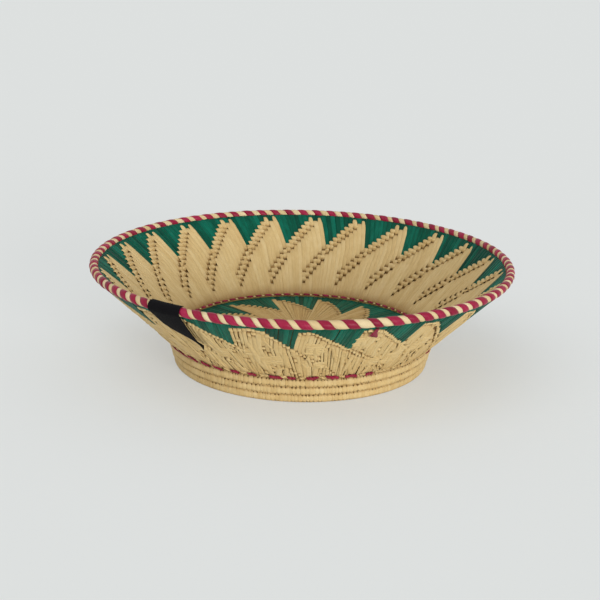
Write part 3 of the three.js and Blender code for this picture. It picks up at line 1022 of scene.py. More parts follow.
@dataclass
class InnerWall(WallFace):
    """The inside of the wall: 24 flames of straw on green, with lines of stitches between them.

    A flame is a motif of columns. The first column, at its straight edge, is its right tip, the
    second a notch, and the third its left tip. From there a line of stitches steps down to the valley
    and on to the foot, across the next flame.
    """

    seed: int = 11
    edge_azimuth: float = 84.2
    green_drop: float = 1.7
    right_drop: float = 2.6
    notch_drop: float = 6.2
    left_drop: float = 3.2
    step_drop: float = 4.2
    valley_drop: float = 27.0
    left_tip_column: float = 2.4
    foot_step: float = 0.5
    foot_level: float = -2.2
    last_crossing: float = 13.0
    shortest_root: float = 1.0
    point_length: float = 4.0
    end_jitter: float = 0.3
    hanging_length: float = 6.2
    diving_length: float = 7.2
    hole: float = 1.1
    hanging_hole: float = 0.55
    stitch_lap: float = 0.3
    stitch_jitter: float = 0.25
    stitch_sink: float = 0.7
    stitch_crest: float = 1.15
    lean_above: float = 3.0
    lean_below: float = 0.6
    core_rows: int = 18
    core_sides: int = 144
    core_depth: float = 1.0
    core_share: float = 0.52
    green_height: float = 1.35
    green_lap: float = 1.2
    green_tip_laps: tuple[float, float, float] = (8.0, 0.8, 6.0)
    green_jitter: float = 0.2

    def __post_init__(self) -> None:
        """Prepares the levels and the columns."""
        super().__post_init__()
        self.surface = self.sizes.wall(Side.INSIDE)
        drops = (self.green_drop, self.step_drop, self.valley_drop)
        self.top_level, self.first_step, self.valley = (self.surface.length - drop for drop in drops)
        tip_drops = (self.right_drop, self.notch_drop, self.left_drop)
        self.right_tip, self.notch, self.left_tip = (self.surface.length - drop for drop in tip_drops)
        self.column = np.arange(COLUMNS)
        self.place = self.column % COLUMNS_PER_MOTIF
        self.angle = np.full(COLUMNS, COLUMN_ANGLE)
        self.line = self.diagonal(self.place + 0.5)
        self.next_line = self.diagonal(self.place + 0.5 + COLUMNS_PER_MOTIF)
        self.crossed = self.next_line > self.last_crossing

    def diagonal(self, places: Array) -> Array:
        """Level at which a diagonal line of stitches starts.

        Args:
            places: Numbers of columns from the line's straight edge.

        Returns:
            Levels.
        """
        to_valley = (COLUMNS_PER_MOTIF - places) / (COLUMNS_PER_MOTIF - self.left_tip_column)
        past_valley = (places - COLUMNS_PER_MOTIF) / COLUMNS_PER_MOTIF
        upper = self.valley + (self.first_step - self.valley) * to_valley
        lower = self.valley - (self.valley - self.foot_step) * past_valley
        return np.where(places <= COLUMNS_PER_MOTIF, upper, lower)

    def azimuth(self, column: Array, level: Array) -> Array:
        """Azimuths of columns, which lean as they rise.

        Args:
            column: Numbers of columns, counted from the first straight edge.
            level: Levels, one row for each column.

        Returns:
            Azimuths, shaped as level.
        """
        middle = self.edge_azimuth + (column[:, None] + 0.5) * COLUMN_ANGLE
        upper = np.clip((self.right_tip - level) / (self.right_tip - self.valley), 0, 1)
        lower = np.clip((self.valley - level) / self.valley, 0, 1)
        return middle - self.lean_above * upper - self.lean_below * lower

    def build(self) -> None:
        """Builds the core, the green strips, the flames and their stitches."""
        self.build_core()
        self.build_green()
        self.build_flames()
        self.build_stitches()

    def build_core(self) -> None:
        """Builds the dark bundle that shows in the holes."""
        level, pitch = np.linspace(self.foot_level, self.top_level, self.core_rows, retstep=True)
        rows = Strips(
            azimuth=np.linspace(0, 360, self.core_sides + 1),
            level=level[:, None],
            half_width=self.core_share * pitch,
            base=-self.core_depth,
            thickness=self.strip_height,
            seed=self.seeds(self.core_rows),
            crosswise=True,
        )
        Weave().add_strips(self.surface, rows).build("wall_bundle", CORE, "wall_coil")

    def build_green(self) -> None:
        """Builds the green strips above the flames and behind their tips."""
        bottom = self.line - self.green_lap
        for place, tip in enumerate((self.right_tip, self.notch, self.left_tip)):
            bottom[self.place == place] = tip - self.green_tip_laps[place]
        bottom = bottom + self.jitter(self.green_jitter, COLUMNS)
        top = np.full(COLUMNS, self.top_level)
        lay = FloatLay(
            height=self.green_height,
            tuck=0.5,
            width_share=1.14,
            width_jitter=0.05,
            # Painted shade near the tucked ends.
            end_shade=0.4,
            rings=8,
        )
        green = self.columns(self.column, top, bottom, lay)
        Weave().add_strips(self.surface, green).build("green_inside", GREEN, "green_band_inside")

    def build_flames(self) -> None:
        """Builds the long strips of the flames."""
        top = self.line - self.hanging_length - self.hanging_hole
        top[self.place == 0] = self.right_tip
        top[self.place == 1] = self.notch
        foot = np.full(COLUMNS, self.foot_level)
        bottom = np.where(self.crossed, self.next_line, foot)
        tips = self.place == 0
        root_top = self.next_line - self.diving_length - 2 * self.hole
        rooted = self.crossed & (root_top > self.shortest_root)
        groups = (
            (tips, top, bottom, self.point_length),
            (~tips, top, bottom, 0.0),
            (rooted, root_top, foot, 0.0),
        )
        weave = Weave()
        for chosen, upper, lower, pointed in groups:
            upper = upper[chosen] + self.jitter(self.end_jitter, chosen.sum())
            lower = lower[chosen] + self.jitter(self.end_jitter, chosen.sum())
            lay = FloatLay(
                height=self.strip_height,
                thickness=0.3,
                tuck=1.0,
                pointed=pointed,
                width_share=1.14,
                width_jitter=0.05,
                height_jitter=0.06,
                # Painted shade near the tucked ends and towards the foot of the wall.
                end_shade=0.45,
                foot_shade=0.5,
            )
            weave.add_strips(self.surface, self.columns(self.column[chosen], upper, lower, lay))
        weave.build("flames_inside", STRAW, *numbered("flame", MOTIFS))

    def build_stitches(self) -> None:
        """Builds the short stitch where a line crosses a column."""
        lap = self.stitch_lap
        hanging, tip, diving = self.place > 2, self.place == 2, self.crossed
        tip_top = np.full(tip.sum(), self.left_tip)
        tip_length = tip_top - self.line[tip] + self.hanging_length + lap
        dive = self.next_line[diving] - self.hole
        groups = (
            (hanging, self.line[hanging] + lap, self.hanging_length + 2 * lap, HANGING_STITCH),
            (tip, tip_top, tip_length, TIP_STITCH),
            (diving, dive + lap, self.diving_length + lap, DIVING_STITCH),
        )
        weave = Weave()
        for chosen, top, length, form in groups:
            column = self.column[chosen]
            top = top + self.jitter(self.stitch_jitter, len(top))
            width = self.width(column, top)
            azimuth_at = partial(self.azimuth, column)
            line = self.stitches(azimuth_at, top, length, width, self.stitch_heights, form)
            weave.add_strips(self.surface, line)
        weave.build("stitches_inside", STRAW)


@dataclass
class OuterWall(WallFace):
    """The outside of the wall: green points under the rim, and strips, stitches and rows below.

    Here a motif runs from a straight edge towards smaller azimuths, and its green steps up column by
    column. The patches show rows of the coil, and the loose strips lie on everything else.
    """

    seed: int = 23
    front_edges: tuple[float, ...] = (252.0, 269.6, 285.9, 302.6)
    front_rises: tuple[float, ...] = (1.8, 2.4, 1.7, 1.9)
    other_rise: float = 2.1
    rise_shares: tuple[float, float] = (0.8, 1.2)
    columns_per_motif: int = 15
    green_drop: float = 1.6
    tip_drop: float = 27.2
    band_drop: float = 5.6
    band_wave: float = 1.2
    least_green: float = 2.4
    first_column: float = 0.3
    green_jitter: float = 0.5
    lean_above: float = 1.5
    lean_below: float = 2.0
    wander: float = 0.7
    bend_jitter: float = 0.12
    band: float = 5.6
    band_shares: tuple[float, float] = (0.8, 1.05)
    shortest_strip: float = 3.5
    shortest_root: float = 2.0
    foot_level: float = -1.8
    lowest_line: float = 5.0
    lowest_cut: float = 6.0
    lowest_limit: float = 8.0
    cut_drop: float = 4.0
    cut_chance: float = 0.85
    most_cuts: int = 2
    first_lap: float = 0.8
    stitch_lap: float = 0.2
    end_jitter: float = 0.5
    green_height: float = 1.85
    stitch_lengths: tuple[float, float] = (2.4, 4.6)
    stitch_widths: tuple[float, float] = (0.7, 1.15)
    stitch_moves: tuple[float, float] = (-0.9, 0.6)
    patches: int = 52
    patch_rings: int = 9
    patch_reach: tuple[float, float] = (1.8, 3.8)
    patch_rows: tuple[int, int] = (2, 6)
    patch_jitter: float = 0.8
    patch_slant: float = 0.25
    patch_clearance: float = 1.5
    row_rise: float = 2.7
    row_share: float = 0.46
    row_taper: float = 0.3
    row_lift: float = 0.1
    row_tuck: float = 1.1
    row_thickness: float = 0.4
    # Painted shade at the tucked ends of the rows.
    row_end_shade: float = 0.25
    loose_strips: int = 240
    loose_tops: tuple[float, float] = (12.0, 54.0)
    loose_lengths: tuple[float, float] = (8.0, 24.0)
    loose_widths: tuple[float, float] = (0.8, 2.8)
    loose_slant: tuple[float, float] = (0.05, 0.09)
    loose_lift: float = 0.35
    lowest_loose: float = 1.0
    tuft_azimuth: float = 288.6
    tuft_strands: int = 7
    tuft_sink: float = 0.5
    tuft_lengths: tuple[float, float] = (8.6, 11.1)
    tuft_fan: tuple[float, float] = (-0.9, 1.1)
    tuft_root_fan: float = 0.3
    tuft_fan_levels: tuple[float, float] = (3.0, 12.0)
    tuft_width: float = 0.75
    tuft_lift: float = 0.7

    def __post_init__(self) -> None:
        """Prepares the levels and the columns."""
        super().__post_init__()
        self.surface = self.sizes.wall(Side.OUTSIDE)
        drops = (self.green_drop, self.tip_drop, self.band_drop)
        levels = (self.surface.length - drop for drop in drops)
        self.top_level, self.tip_level, self.band_level = levels
        last_edge = self.front_edges[-1]
        others = MOTIFS - len(self.front_edges)
        room = (self.front_edges[0] + 360 - last_edge) / (others + 1)
        edges = np.concatenate([self.front_edges, last_edge + room * np.arange(1, others + 1)])
        spans = np.diff(edges, prepend=edges[-1] - 360)
        rises = self.other_rise * self.rng.uniform(*self.rise_shares, MOTIFS)
        rises[: len(self.front_rises)] = self.front_rises
        self.column = np.arange(MOTIFS * self.columns_per_motif)
        motif, self.place = np.divmod(self.column, self.columns_per_motif)
        self.angle = spans[motif] / self.columns_per_motif
        self.rise = rises[motif]
        self.rise_after = np.roll(rises, 1)[motif]
        self.centre = edges[motif] - (self.place + 0.5) * self.angle
        wander = self.wander * self.wave(self.centre, 5, 13, 31)
        self.bend = self.lean_below + wander + self.rng.normal(0, self.bend_jitter, len(self.centre))

    def azimuth(self, column: Array, level: Array) -> Array:
        """Azimuths of columns, which lean one way in the green and the other way below it.

        Args:
            column: Numbers of columns.
            level: Levels, one row for each column.

        Returns:
            Azimuths, shaped as level.
        """
        upper = np.clip((self.top_level - level) / (self.top_level - self.tip_level), 0, 1)
        lower = np.clip((self.tip_level - level) / self.tip_level, 0, 1)
        bend = self.bend[column][:, None]
        return self.centre[column][:, None] - self.lean_above * upper + bend * lower

    def green_bottom(self) -> Array:
        """Lower end of the green in each column.

        Returns:
            Levels.
        """
        step = self.tip_level + self.rise * self.angle * (self.place + self.first_column)
        band = self.band_level + self.band_wave * self.wave(self.centre, 7, 19, 47)
        return np.minimum(step, np.minimum(band, self.top_level - self.least_green))

    def green_above(self, azimuth: float) -> float:
        """Level of the green's lower end at an azimuth."""
        away = np.abs((self.centre - self.lean_above - azimuth + 180) % 360 - 180)
        return float(self.bottom[np.argmin(away)])

    def build(self) -> None:
        """Builds the green points, the straw below them and what lies loose on it."""
        self.bottom = self.green_bottom()
        self.build_green()
        self.build_straw()
        self.build_patches()
        self.build_loose()
        self.build_tuft()

    def build_green(self) -> None:
        """Builds the green points and the band between them."""
        bottom = self.bottom + self.jitter(self.green_jitter, len(self.bottom))
        top = np.full(len(bottom), self.top_level)
        lay = FloatLay(
            height=self.green_height,
            thickness=0.3,
            tuck=0.6,
            width_share=1.14,
            width_jitter=0.05,
            height_jitter=0.08,
            # Painted shade near the tucked ends.
            end_shade=0.2,
            slit_share=0.16,
            rings=8,
        )
        green = self.columns(self.column, top, bottom, lay)
        Weave().add_strips(self.surface, green).build("green_outside", GREEN, "green_points_outside")

    def spans(self) -> list[list[Array]]:
        """Long strips and short stitches of the straw, down each column.

        At a cut a strip ends in a stitch, and the next starts about a band further down. A strip that
        would be a little too short runs on through the cut, and a still shorter one is left out.

        Returns:
            The strips' columns, upper ends and lower ends, and the stitches' columns and upper ends.
        """
        before = self.columns_per_motif - self.place - 0.5
        line = self.tip_level - self.rise_after * self.angle * before
        mess = 0.5 + 0.5 * self.wave(self.centre, 3, 7, 11, 19)
        long_strips, stitches = [], []
        for column, level in enumerate(self.bottom):
            cuts = [line[column]] if line[column] > self.foot_level + self.lowest_line else []
            cuts.append(level + self.first_lap)
            for _cut in range(self.most_cuts):
                if self.rng.random() < self.cut_chance * mess[column]:
                    limit = max(level - self.cut_drop, self.lowest_limit)
                    cuts.append(self.rng.uniform(self.foot_level + self.lowest_cut, limit))
            for cut in sorted(cuts, reverse=True):
                if level - cut > self.shortest_strip:
                    long_strips.append((column, level, cut))
                elif level - cut > self.shortest_strip / 2:
                    continue
                stitches.append((column, cut - self.stitch_lap))
                level = cut - self.band * self.rng.uniform(*self.band_shares)
            if level - self.foot_level > self.shortest_root:
                long_strips.append((column, level, self.foot_level))
        return [[np.array(part) for part in zip(*places)] for places in (long_strips, stitches)]

    def build_straw(self) -> None:
        """Builds the natural strips and stitches."""
        (column, top, bottom), (stitch_column, stitch_top) = self.spans()
        lay = FloatLay(
            height=self.strip_height,
            thickness=0.3,
            width_share=1.12,
            width_jitter=0.07,
            height_jitter=0.16,
            tuck_reach=0.6,
            tuck=1.0,
            # Painted shade near the tucked ends and towards the foot of the wall.
            end_shade=0.35,
            foot_shade=0.15,
            slit_share=0.27,
        )
        strips = self.columns(column, top + self.jitter(self.end_jitter, len(top)), bottom, lay)
        Weave().add_strips(self.surface, strips).build("straw_outside", STRAW)
        count = len(stitch_top)
        length = self.rng.uniform(*self.stitch_lengths, count)
        top = stitch_top + self.rng.uniform(*self.stitch_moves, count)
        width = self.width(stitch_column, top) * self.rng.uniform(*self.stitch_widths, count)
        azimuth_at = partial(self.azimuth, stitch_column)
        stitches = self.stitches(azimuth_at, top, length, width, self.stitch_heights, FLAT_STITCH)
        Weave().add_strips(self.surface, stitches).build("stitches_outside", STRAW)

    def build_patches(self) -> None:
        """Builds patches where the coil's rows show."""
        weave = Weave()
        share = np.linspace(-1, 1, self.patch_rings)
        for _patch in range(self.patches):
            azimuth = self.rng.uniform(0, 360)
            reach = self.rng.uniform(*self.patch_reach)
            above = min(self.green_above(azimuth + side * reach) for side in (-1, 0, 1))
            limit = above - self.patch_clearance
            room = int((limit - self.lowest_cut) / self.row_rise)
            rows = min(self.rng.integers(*self.patch_rows), room)
            start = self.rng.uniform(self.lowest_cut, limit - rows * self.row_rise)
            level = start + self.row_rise * (np.arange(rows)[:, None] + 0.5)
            centre = azimuth + self.jitter(self.patch_jitter, rows, 1)
            slant = self.patch_slant * self.rng.standard_normal((rows, 1))
            strips = Strips(
                azimuth=centre + reach * share,
                level=level + slant * share,
                half_width=self.row_share * self.row_rise * (1 - self.row_taper * share**4),
                base=self.strip_height + self.row_lift - self.row_tuck * share**8,
                thickness=self.row_thickness,
                seed=self.seeds(rows),
                # Painted shade where the rows tuck in at their ends.
                age=self.row_end_shade * share**6,
                crosswise=True,
            )
            weave.add_strips(self.surface, strips)
        weave.build("rows_outside", STRAW)

    def build_loose(self) -> None:
        """Builds long strips that lie loose on the others."""
        count = self.loose_strips
        top = self.rng.uniform(*self.loose_tops, count)
        bottom = np.maximum(top - self.rng.uniform(*self.loose_lengths, count), self.lowest_loose)
        azimuth = self.rng.uniform(0, 360, count)
        slant = self.rng.normal(*self.loose_slant, count)

        def slanted(level: Array) -> Array:
            """Azimuths of the loose strips at levels."""
            return azimuth[:, None] + slant[:, None] * (top[:, None] - level)

        height = self.strip_height + self.loose_lift
        # The loose strips get painted shade near their tucked ends.
        lay = FloatLay(height=height, thickness=0.35, width_jitter=0.1, tuck=1.4, end_shade=0.4)
        width = self.rng.uniform(*self.loose_widths, count)
        under = top < np.array([self.green_above(place) for place in azimuth])
        strips = self.floats(slanted, top, bottom, (width, width), lay).chosen(under)
        Weave().add_strips(self.surface, strips).build("loose_straw_outside", STRAW)

    def build_tuft(self) -> None:
        """Builds the frayed end of the magenta strip under the rim."""
        count = self.tuft_strands
        top = np.full(count, self.top_level - self.tuft_sink)
        fan = np.linspace(*self.tuft_fan, count)[:, None]

        def fanned(level: Array) -> Array:
            """Azimuths of the frayed strands at levels."""
            spread = smooth_share(self.top_level - level, *self.tuft_fan_levels)
            return self.tuft_azimuth + fan * (self.tuft_root_fan + spread)

        height = self.strip_height + self.tuft_lift
        lay = FloatLay(height=height, thickness=0.35, tuck=0.2, width_jitter=0.2, rings=8)
        width = np.full(count, self.tuft_width)
        bottom = top - np.linspace(*self.tuft_lengths, count)
        strands = self.floats(fanned, top, bottom, (width, width), lay)
        Weave().add_strips(self.surface, strands).build("magenta_tuft", MAGENTA)


@dataclass
class Rim(StrawPart):
    """The last coil, wound with magenta and natural strips by turns.

    The turns start at the splice. They are wider round wide_azimuth, and a little wider on the far
    side, where the magenta strip also leaves more of the straw bare.
    """

    seed: int = 37
    pairs: int = 82
    magenta_share: float = 0.62
    far_share: float = 0.53
    share_jitter: float = 0.05
    edge_jitter: float = 0.07
    far_azimuth: float = 115.0
    far_extra: float = 0.08
    wide_azimuth: float = 280.0
    wide_reach: float = 10.5
    wide_extra: float = 0.5
    wide_loss: float = 0.15
    splice_azimuth: float = 300.6
    seam_level: float = -110.0
    straw_sink: float = 0.2
    most_sink: float = 0.12
    strip_thickness: float = 0.5
    strip_lap: float = 1.01
    rings: int = 21
    core_gap: float = 0.75
    core_rings: int = 180
    core_seed: float = 0.4
    places: int = 1441

    def farness(self, azimuth: Array) -> Array:
        """How near azimuths are to the far side, from 0 to 1."""
        return (1 + np.cos(np.radians(azimuth - self.far_azimuth))) / 2

    def wideness(self, azimuth: Array) -> Array:
        """How far the turns are spread at azimuths, from 0 to 1."""
        return np.exp(-(((azimuth % 360 - self.wide_azimuth) / self.wide_reach) ** 4))

    def edges(self) -> Array:
        """Where the pairs of turns start.

        Returns:
            Azimuths, one for each pair.
        """
        place = np.linspace(self.splice_azimuth, self.splice_azimuth + 360, self.places)
        room = 1 + self.wide_extra * self.wideness(place) + self.far_extra * self.farness(place)
        turned = np.concatenate([[0], np.cumsum(2 / (room[1:] + room[:-1]))])
        even = np.arange(self.pairs) + self.jitter(self.edge_jitter, self.pairs)
        return np.interp(even * turned[-1] / self.pairs, turned, place)

    def turns(self, low: Array, high: Array, sink: float) -> Strips:
        """Turns of one colour.

        Args:
            low: Azimuths of the turns' first edges.
            high: Azimuths of their other edges.
            sink: How much lower they lie than the proudest turns.

        Returns:
            The turns.
        """
        count = len(low)
        level = self.seam_level + np.linspace(0, 360, self.rings)
        half = np.radians(high - low)[:, None] / 2 * self.sizes.rim_radius
        crown = self.sizes.rim_half - self.strip_thickness - sink
        return Strips(
            azimuth=(low + high)[:, None] / 2 + (level - 90) / self.pairs,
            level=level,
            half_width=half * self.strip_lap,
            base=crown + self.rng.uniform(-self.most_sink, 0, (count, 1)),
            thickness=self.strip_thickness,
            seed=self.seeds(count),
        )

    def build(self) -> None:
        """Builds both colours of strip and the bundle under them."""
        ring = Ring(self.sizes.rim_radius, self.sizes.rim_height)
        edge = self.edges()
        next_edge = np.append(edge[1:], edge[0] + 360)
        share = self.magenta_share + (self.far_share - self.magenta_share) * self.farness(edge)
        share += self.jitter(self.share_jitter, self.pairs) - self.wide_loss * self.wideness(edge)
        split = edge + share * (next_edge - edge)
        magenta = Weave().add_strips(ring, self.turns(edge, split, sink=0.0))
        magenta.build("rim_strip_magenta", MAGENTA, "rim_wrap_magenta")
        straw = Weave().add_strips(ring, self.turns(split, next_edge, self.straw_sink))
        straw.build("rim_strip_straw", PALE_STRAW, "rim_coil")
        bundle = Weave()
        bundle.add_coil(ring, self.sizes.rim_half - self.core_gap, self.core_rings, self.core_seed)
        bundle.build("rim_bundle", CORE)


@dataclass
class Foot(StrawPart):
    """Three rows of coil, each wound with narrow strips that sink into the grooves between rows."""

    seed: int = 41
    rows: int = 3
    strip_width: float = 2.2
    strip_room: tuple[float, float] = (0.5, 1.5)
    strip_share: float = 0.59
    strip_thickness: float = 0.3
    most_sink: float = 0.08
    spread: float = 2.7
    half_depth: float = 2.5
    row_lap: float = 0.15
    fullness: float = 0.72
    lean: float = 0.15
    lean_jitter: float = 0.12
    seam_level: float = -110.0
    groove_angle: float = 45.0
    groove_reach: float = 17.0
    groove_depth: float = 0.8
    groove_least: float = 0.1
    # Painted shade in the grooves between rows.
    groove_shade: float = 0.35
    rings: int = 25
    core_gap: float = 0.25
    core_rings: int = 144

    def windings(self, half_height: float) -> Strips:
        """The strips wound round one row.

        Args:
            half_height: Half the height of the row.

        Returns:
            The strips.
        """
        count = round(2 * math.pi * self.sizes.foot_radius / self.strip_width)
        edges = np.cumsum(self.rng.uniform(*self.strip_room, count))
        edges = 360 * edges / edges[-1]
        room = np.diff(edges, prepend=0)[:, None]
        level = self.seam_level + np.linspace(0, 360, self.rings)
        lean = self.rng.normal(self.lean, self.lean_jitter, (count, 1)) * (level - 90) / 90
        sink = self.rng.uniform(-self.most_sink, 0, (count, 1))
        groove = np.exp(-(((np.abs(level - 90) - 90 + self.groove_angle) / self.groove_reach) ** 2))
        pinch = self.groove_depth * groove * self.rng.uniform(self.groove_least, 1, (count, 1))
        return Strips(
            azimuth=edges[:, None] - room / 2 + lean,
            level=level,
            half_width=np.radians(room) * self.sizes.foot_radius * self.strip_share * (1 - pinch),
            base=half_height - self.strip_thickness + sink,
            thickness=self.strip_thickness,
            seed=self.seeds(count),
            # Painted shade in the grooves between rows.
            age=self.groove_shade * groove,
        )

    def build(self) -> None:
        """Builds the strips and the bundles under them, row by row from the ground."""
        pitch = self.sizes.foot_top / self.rows
        half_height = pitch / 2 + self.row_lap
        squash = self.half_depth / half_height
        core = half_height - self.strip_thickness - self.core_gap
        strips, bundles = Weave(), Weave()
        for row in range(self.rows):
            inset = self.half_depth + self.spread * (1 - row / (self.rows - 1))
            height = max(pitch * (row + 0.5), half_height)
            ring = Ring(self.sizes.foot_radius - inset, height, squash, self.fullness)
            strips.add_strips(ring, self.windings(half_height))
            bundles.add_coil(ring, core, self.core_rings, self.rng.uniform(0, 1))
        strips.build("foot_strips", STRAW, "foot_coil")
        bundles.build("foot_bundle", CORE)


@dataclass
class Floor(StrawPart):
    """The flat floor: a star of 14 straw petals on green, over rows of coil.

    A petal has a tip, a notch and then columns that step down to the valley, each with a nub.
    """

    seed: int = 53
    petals: int = 14
    columns_per_petal: int = 10
    first_edge: float = 132.5
    tip: float = 70.0
    notch: float = 66.5
    step_top: float = 66.0
    valley: float = 46.0
    root: float = 1.0
    root_spread: float = 1.5
    hole: float = 0.4
    nub_length: float = 2.4
    nub_share: float = 1.1
    nub_heights: tuple[float, float] = (0.5, 0.1)
    strip_height: float = 0.7
    green_sink: float = 0.25
    green_lap: float = 0.6
    green_tip_lap: float = 6.0
    green_reach: float = 1.5
    rows: int = 13
    row_lap: float = 0.1
    pin_hole: float = 0.1
    least_rings: int = 24
    rings_per_mm: float = 2.0

    def __post_init__(self) -> None:
        """Prepares the columns."""
        super().__post_init__()
        count = self.petals * self.columns_per_petal
        self.angle = 360 / count
        self.column = np.arange(count)
        self.place = self.column % self.columns_per_petal

    def azimuth(self, column: Array, _level: Array) -> Array:
        """Azimuths of columns, the same at each radius."""
        return self.first_edge - (column[:, None] + 0.5) * self.angle

    def width(self, level: Array) -> Array:
        """Width of the columns at radii."""
        return np.radians(self.angle) * level

    def build(self) -> None:
        """Builds the petals, the green round them and the coil below."""
        surface = Disc(self.sizes.floor_top)
        azimuth_at = partial(self.azimuth, self.column)
        tips, notches, nubs = self.place == 0, self.place == 1, self.place > 1
        share = (self.place - 2) / (self.columns_per_petal - 3)
        step = self.step_top - (self.step_top - self.valley) * share
        top = step - self.nub_length - self.hole
        top[tips], top[notches] = self.tip, self.notch
        step[tips], step[notches] = self.tip - self.green_tip_lap, self.notch
        root = self.root + self.rng.uniform(0, self.root_spread, len(step))
        widths = (self.width(top), self.width(np.full(len(step), self.root)))
        # Painted shade near the strips' tucked ends.
        lay = FloatLay(height=self.strip_height, thickness=0.4, tuck=0.6, end_shade=0.4, rings=12)
        weave = Weave().add_strips(surface, self.floats(azimuth_at, top, root, widths, lay))
        level = step[nubs]
        width = self.width(level) * self.nub_share
        nub_at = partial(self.azimuth, self.column[nubs])
        line = self.stitches(nub_at, level, self.nub_length, width, self.nub_heights, FLAT_STITCH)
        weave.add_strips(surface, line)
        # The petals take the darker copy of the straw, which paints the wall's shade on the floor.
        weave.build("petals_floor", SHADED_FLOOR_STRAW, *numbered("floor_petal", self.petals))
        outer = np.full(len(step), self.sizes.floor_radius + self.green_reach)
        widths = (self.width(outer), self.width(step))
        height = self.strip_height - self.green_sink
        lay = FloatLay(height=height, thickness=0.4, tuck=0.3, width_share=1.04, rings=8)
        green = self.floats(azimuth_at, outer, step - self.green_lap, widths, lay)
        Weave().add_strips(surface, green).build("green_of_floor", GREEN, "green_floor")
        self.build_coil()

    def build_coil(self) -> None:
        """Builds the rows of coil that are seen from below, and the small one in their middle."""
        half = (self.sizes.floor_top - self.sizes.floor_bottom) / 2
        width = self.sizes.floor_radius / (self.rows + 0.5)
        coils = [
            (self.sizes.floor_radius - width * (row + 0.5), width / 2 + self.row_lap)
            for row in range(self.rows)
        ]
        coils.append((width / 4, width / 4 - self.pin_hole))
        weave = Weave()
        for radius, half_width in coils:
            ring = Ring(radius, self.sizes.floor_bottom + half, half_width / half)
            rings = max(self.least_rings, round(radius * self.rings_per_mm))
            weave.add_coil(ring, half, rings, self.rng.uniform(0, 1))
        weave.build("floor_rows", WOUND, "floor_coil")


@dataclass
class EdgeStitches(StrawPart):
    """The magenta stitch lines inside, round the floor, and outside, over the foot.

    The inner line is of single stitches along a ring, whose widths are angles round its section. The
    outer line is of clumps of small overlapping stitches, all of straw along the bare stretch.
    """

    seed: int = 67
    inner_count: int = 74
    inner_inset: float = 3.9
    inner_rise: float = 1.3
    inner_level: float = -30.0
    inner_rings: int = 7
    inner_half_width: float = 42.0
    inner_taper: float = 2.2
    inner_thickness: float = 0.45
    inner_jitter: float = 0.06
    length_shares: tuple[float, float] = (0.85, 1.12)
    twist: float = 40.0
    twist_shares: tuple[float, float] = (0.2, 1.0)
    end_sink: float = 2.2
    # Painted shade at the stitches' sunken ends.
    end_shade: float = 0.5
    outer_count: int = 46
    outer_jitter: float = 0.8
    bare_stretch: tuple[float, float] = (299.0, 332.0)
    straw_place: float = 0.62
    clump_sizes: tuple[int, int] = (3, 6)
    clump_level: float = 0.6
    clump_spread: float = 0.7
    clump_lengths: tuple[float, float] = (1.3, 2.2)
    clump_steps: tuple[float, float] = (0.7, 1.2)
    clump_rings: int = 6
    clump_slant: tuple[float, float] = (-1.4, 0.6)
    clump_taper: float = 1.6
    clump_tuck: float = 7.0
    clump_jitter: float = 0.2
    clump_thickness: float = 0.4

    def build(self) -> None:
        """Builds both lines, each with straw stitches between the magenta ones."""
        ring = Ring(self.sizes.foot_radius - self.inner_inset, self.sizes.floor_top + self.inner_rise)
        magenta = Weave().add_strips(ring, self.running(radius=1.0, share=0.66))
        straw = Weave().add_strips(ring, self.running(radius=0.6, share=0.36, shift=0.5))
        magenta.build("magenta_stitches_floor", MAGENTA, "floor_edge_stitches")
        straw.build("straw_stitches_floor", STRAW)
        wall = self.sizes.wall(Side.OUTSIDE)
        room = 360 / self.outer_count
        start = room * np.arange(self.outer_count) + self.jitter(self.outer_jitter, self.outer_count)
        bare = (self.bare_stretch[0] < start) & (start < self.bare_stretch[1])
        straw_start = np.concatenate([start + self.straw_place * room, start[bare]])
        magenta = Weave().add_strips(wall, self.clumps(start[~bare], half_width=1.75, height=2.7))
        magenta.build("magenta_stitches_foot", MAGENTA, "foot_edge_stitches")
        straw = Weave().add_strips(wall, self.clumps(straw_start, half_width=0.95, height=2.2))
        straw.build("straw_stitches_foot", STRAW)

    def running(self, radius: float, share: float, shift: float = 0.0) -> Strips:
        """One line of single stitches that lie along a ring.

        Args:
            radius: Their distance from the ring's middle.
            share: Length of a stitch, as a share of the room that it has.
            shift: Place in the room, as a share of it.

        Returns:
            The stitches.
        """
        count = self.inner_count
        room = 360 / count
        middle = room * (np.arange(count) + shift) + self.jitter(self.inner_jitter, count) * room
        along = np.linspace(-0.5, 0.5, self.inner_rings)
        length = share * room * self.rng.uniform(*self.length_shares, (count, 1))
        twist = self.twist * self.rng.uniform(*self.twist_shares, (count, 1))
        return Strips(
            azimuth=middle[:, None] + length * along,
            level=self.inner_level + twist * along,
            half_width=self.inner_half_width * (1 - self.inner_taper * along**2),
            base=radius - self.end_sink * np.abs(along) ** 3,
            thickness=self.inner_thickness,
            seed=self.seeds(count),
            # Painted shade where the ends sink.
            age=self.end_shade * np.abs(2 * along) ** 3,
            crosswise=True,
        )

    def clumps(self, starts: Array, half_width: float, height: float) -> Strips:
        """Small overlapping stitches in clumps.

        Args:
            starts: Azimuths at which the clumps start.
            half_width: Half the width of a stitch.
            height: Height of the stitches above the middle of the wall.

        Returns:
            The stitches.
        """
        places = []
        for azimuth in starts:
            for _stitch in range(self.rng.integers(*self.clump_sizes)):
                level = self.clump_level + self.rng.uniform(-self.clump_spread, self.clump_spread)
                places.append((azimuth, level, self.rng.uniform(*self.clump_lengths)))
                azimuth += self.rng.uniform(*self.clump_steps)
        azimuth, level, length = np.array(places).T[..., None]
        count = len(places)
        along = np.linspace(-0.5, 0.5, self.clump_rings)
        slant = self.rng.normal(*self.clump_slant, (count, 1))
        lift = height + self.jitter(self.clump_jitter, count, 1)
        return Strips(
            azimuth=azimuth + length * along,
            level=level + slant * along,
            half_width=half_width * (1 - self.clump_taper * along**2),
            base=lift - self.clump_tuck * along**4,
            thickness=self.clump_thickness,
            seed=self.seeds(count),
            # Painted shade where the ends sink.
            age=self.end_shade * np.abs(2 * along) ** 3,
            crosswise=True,
        )


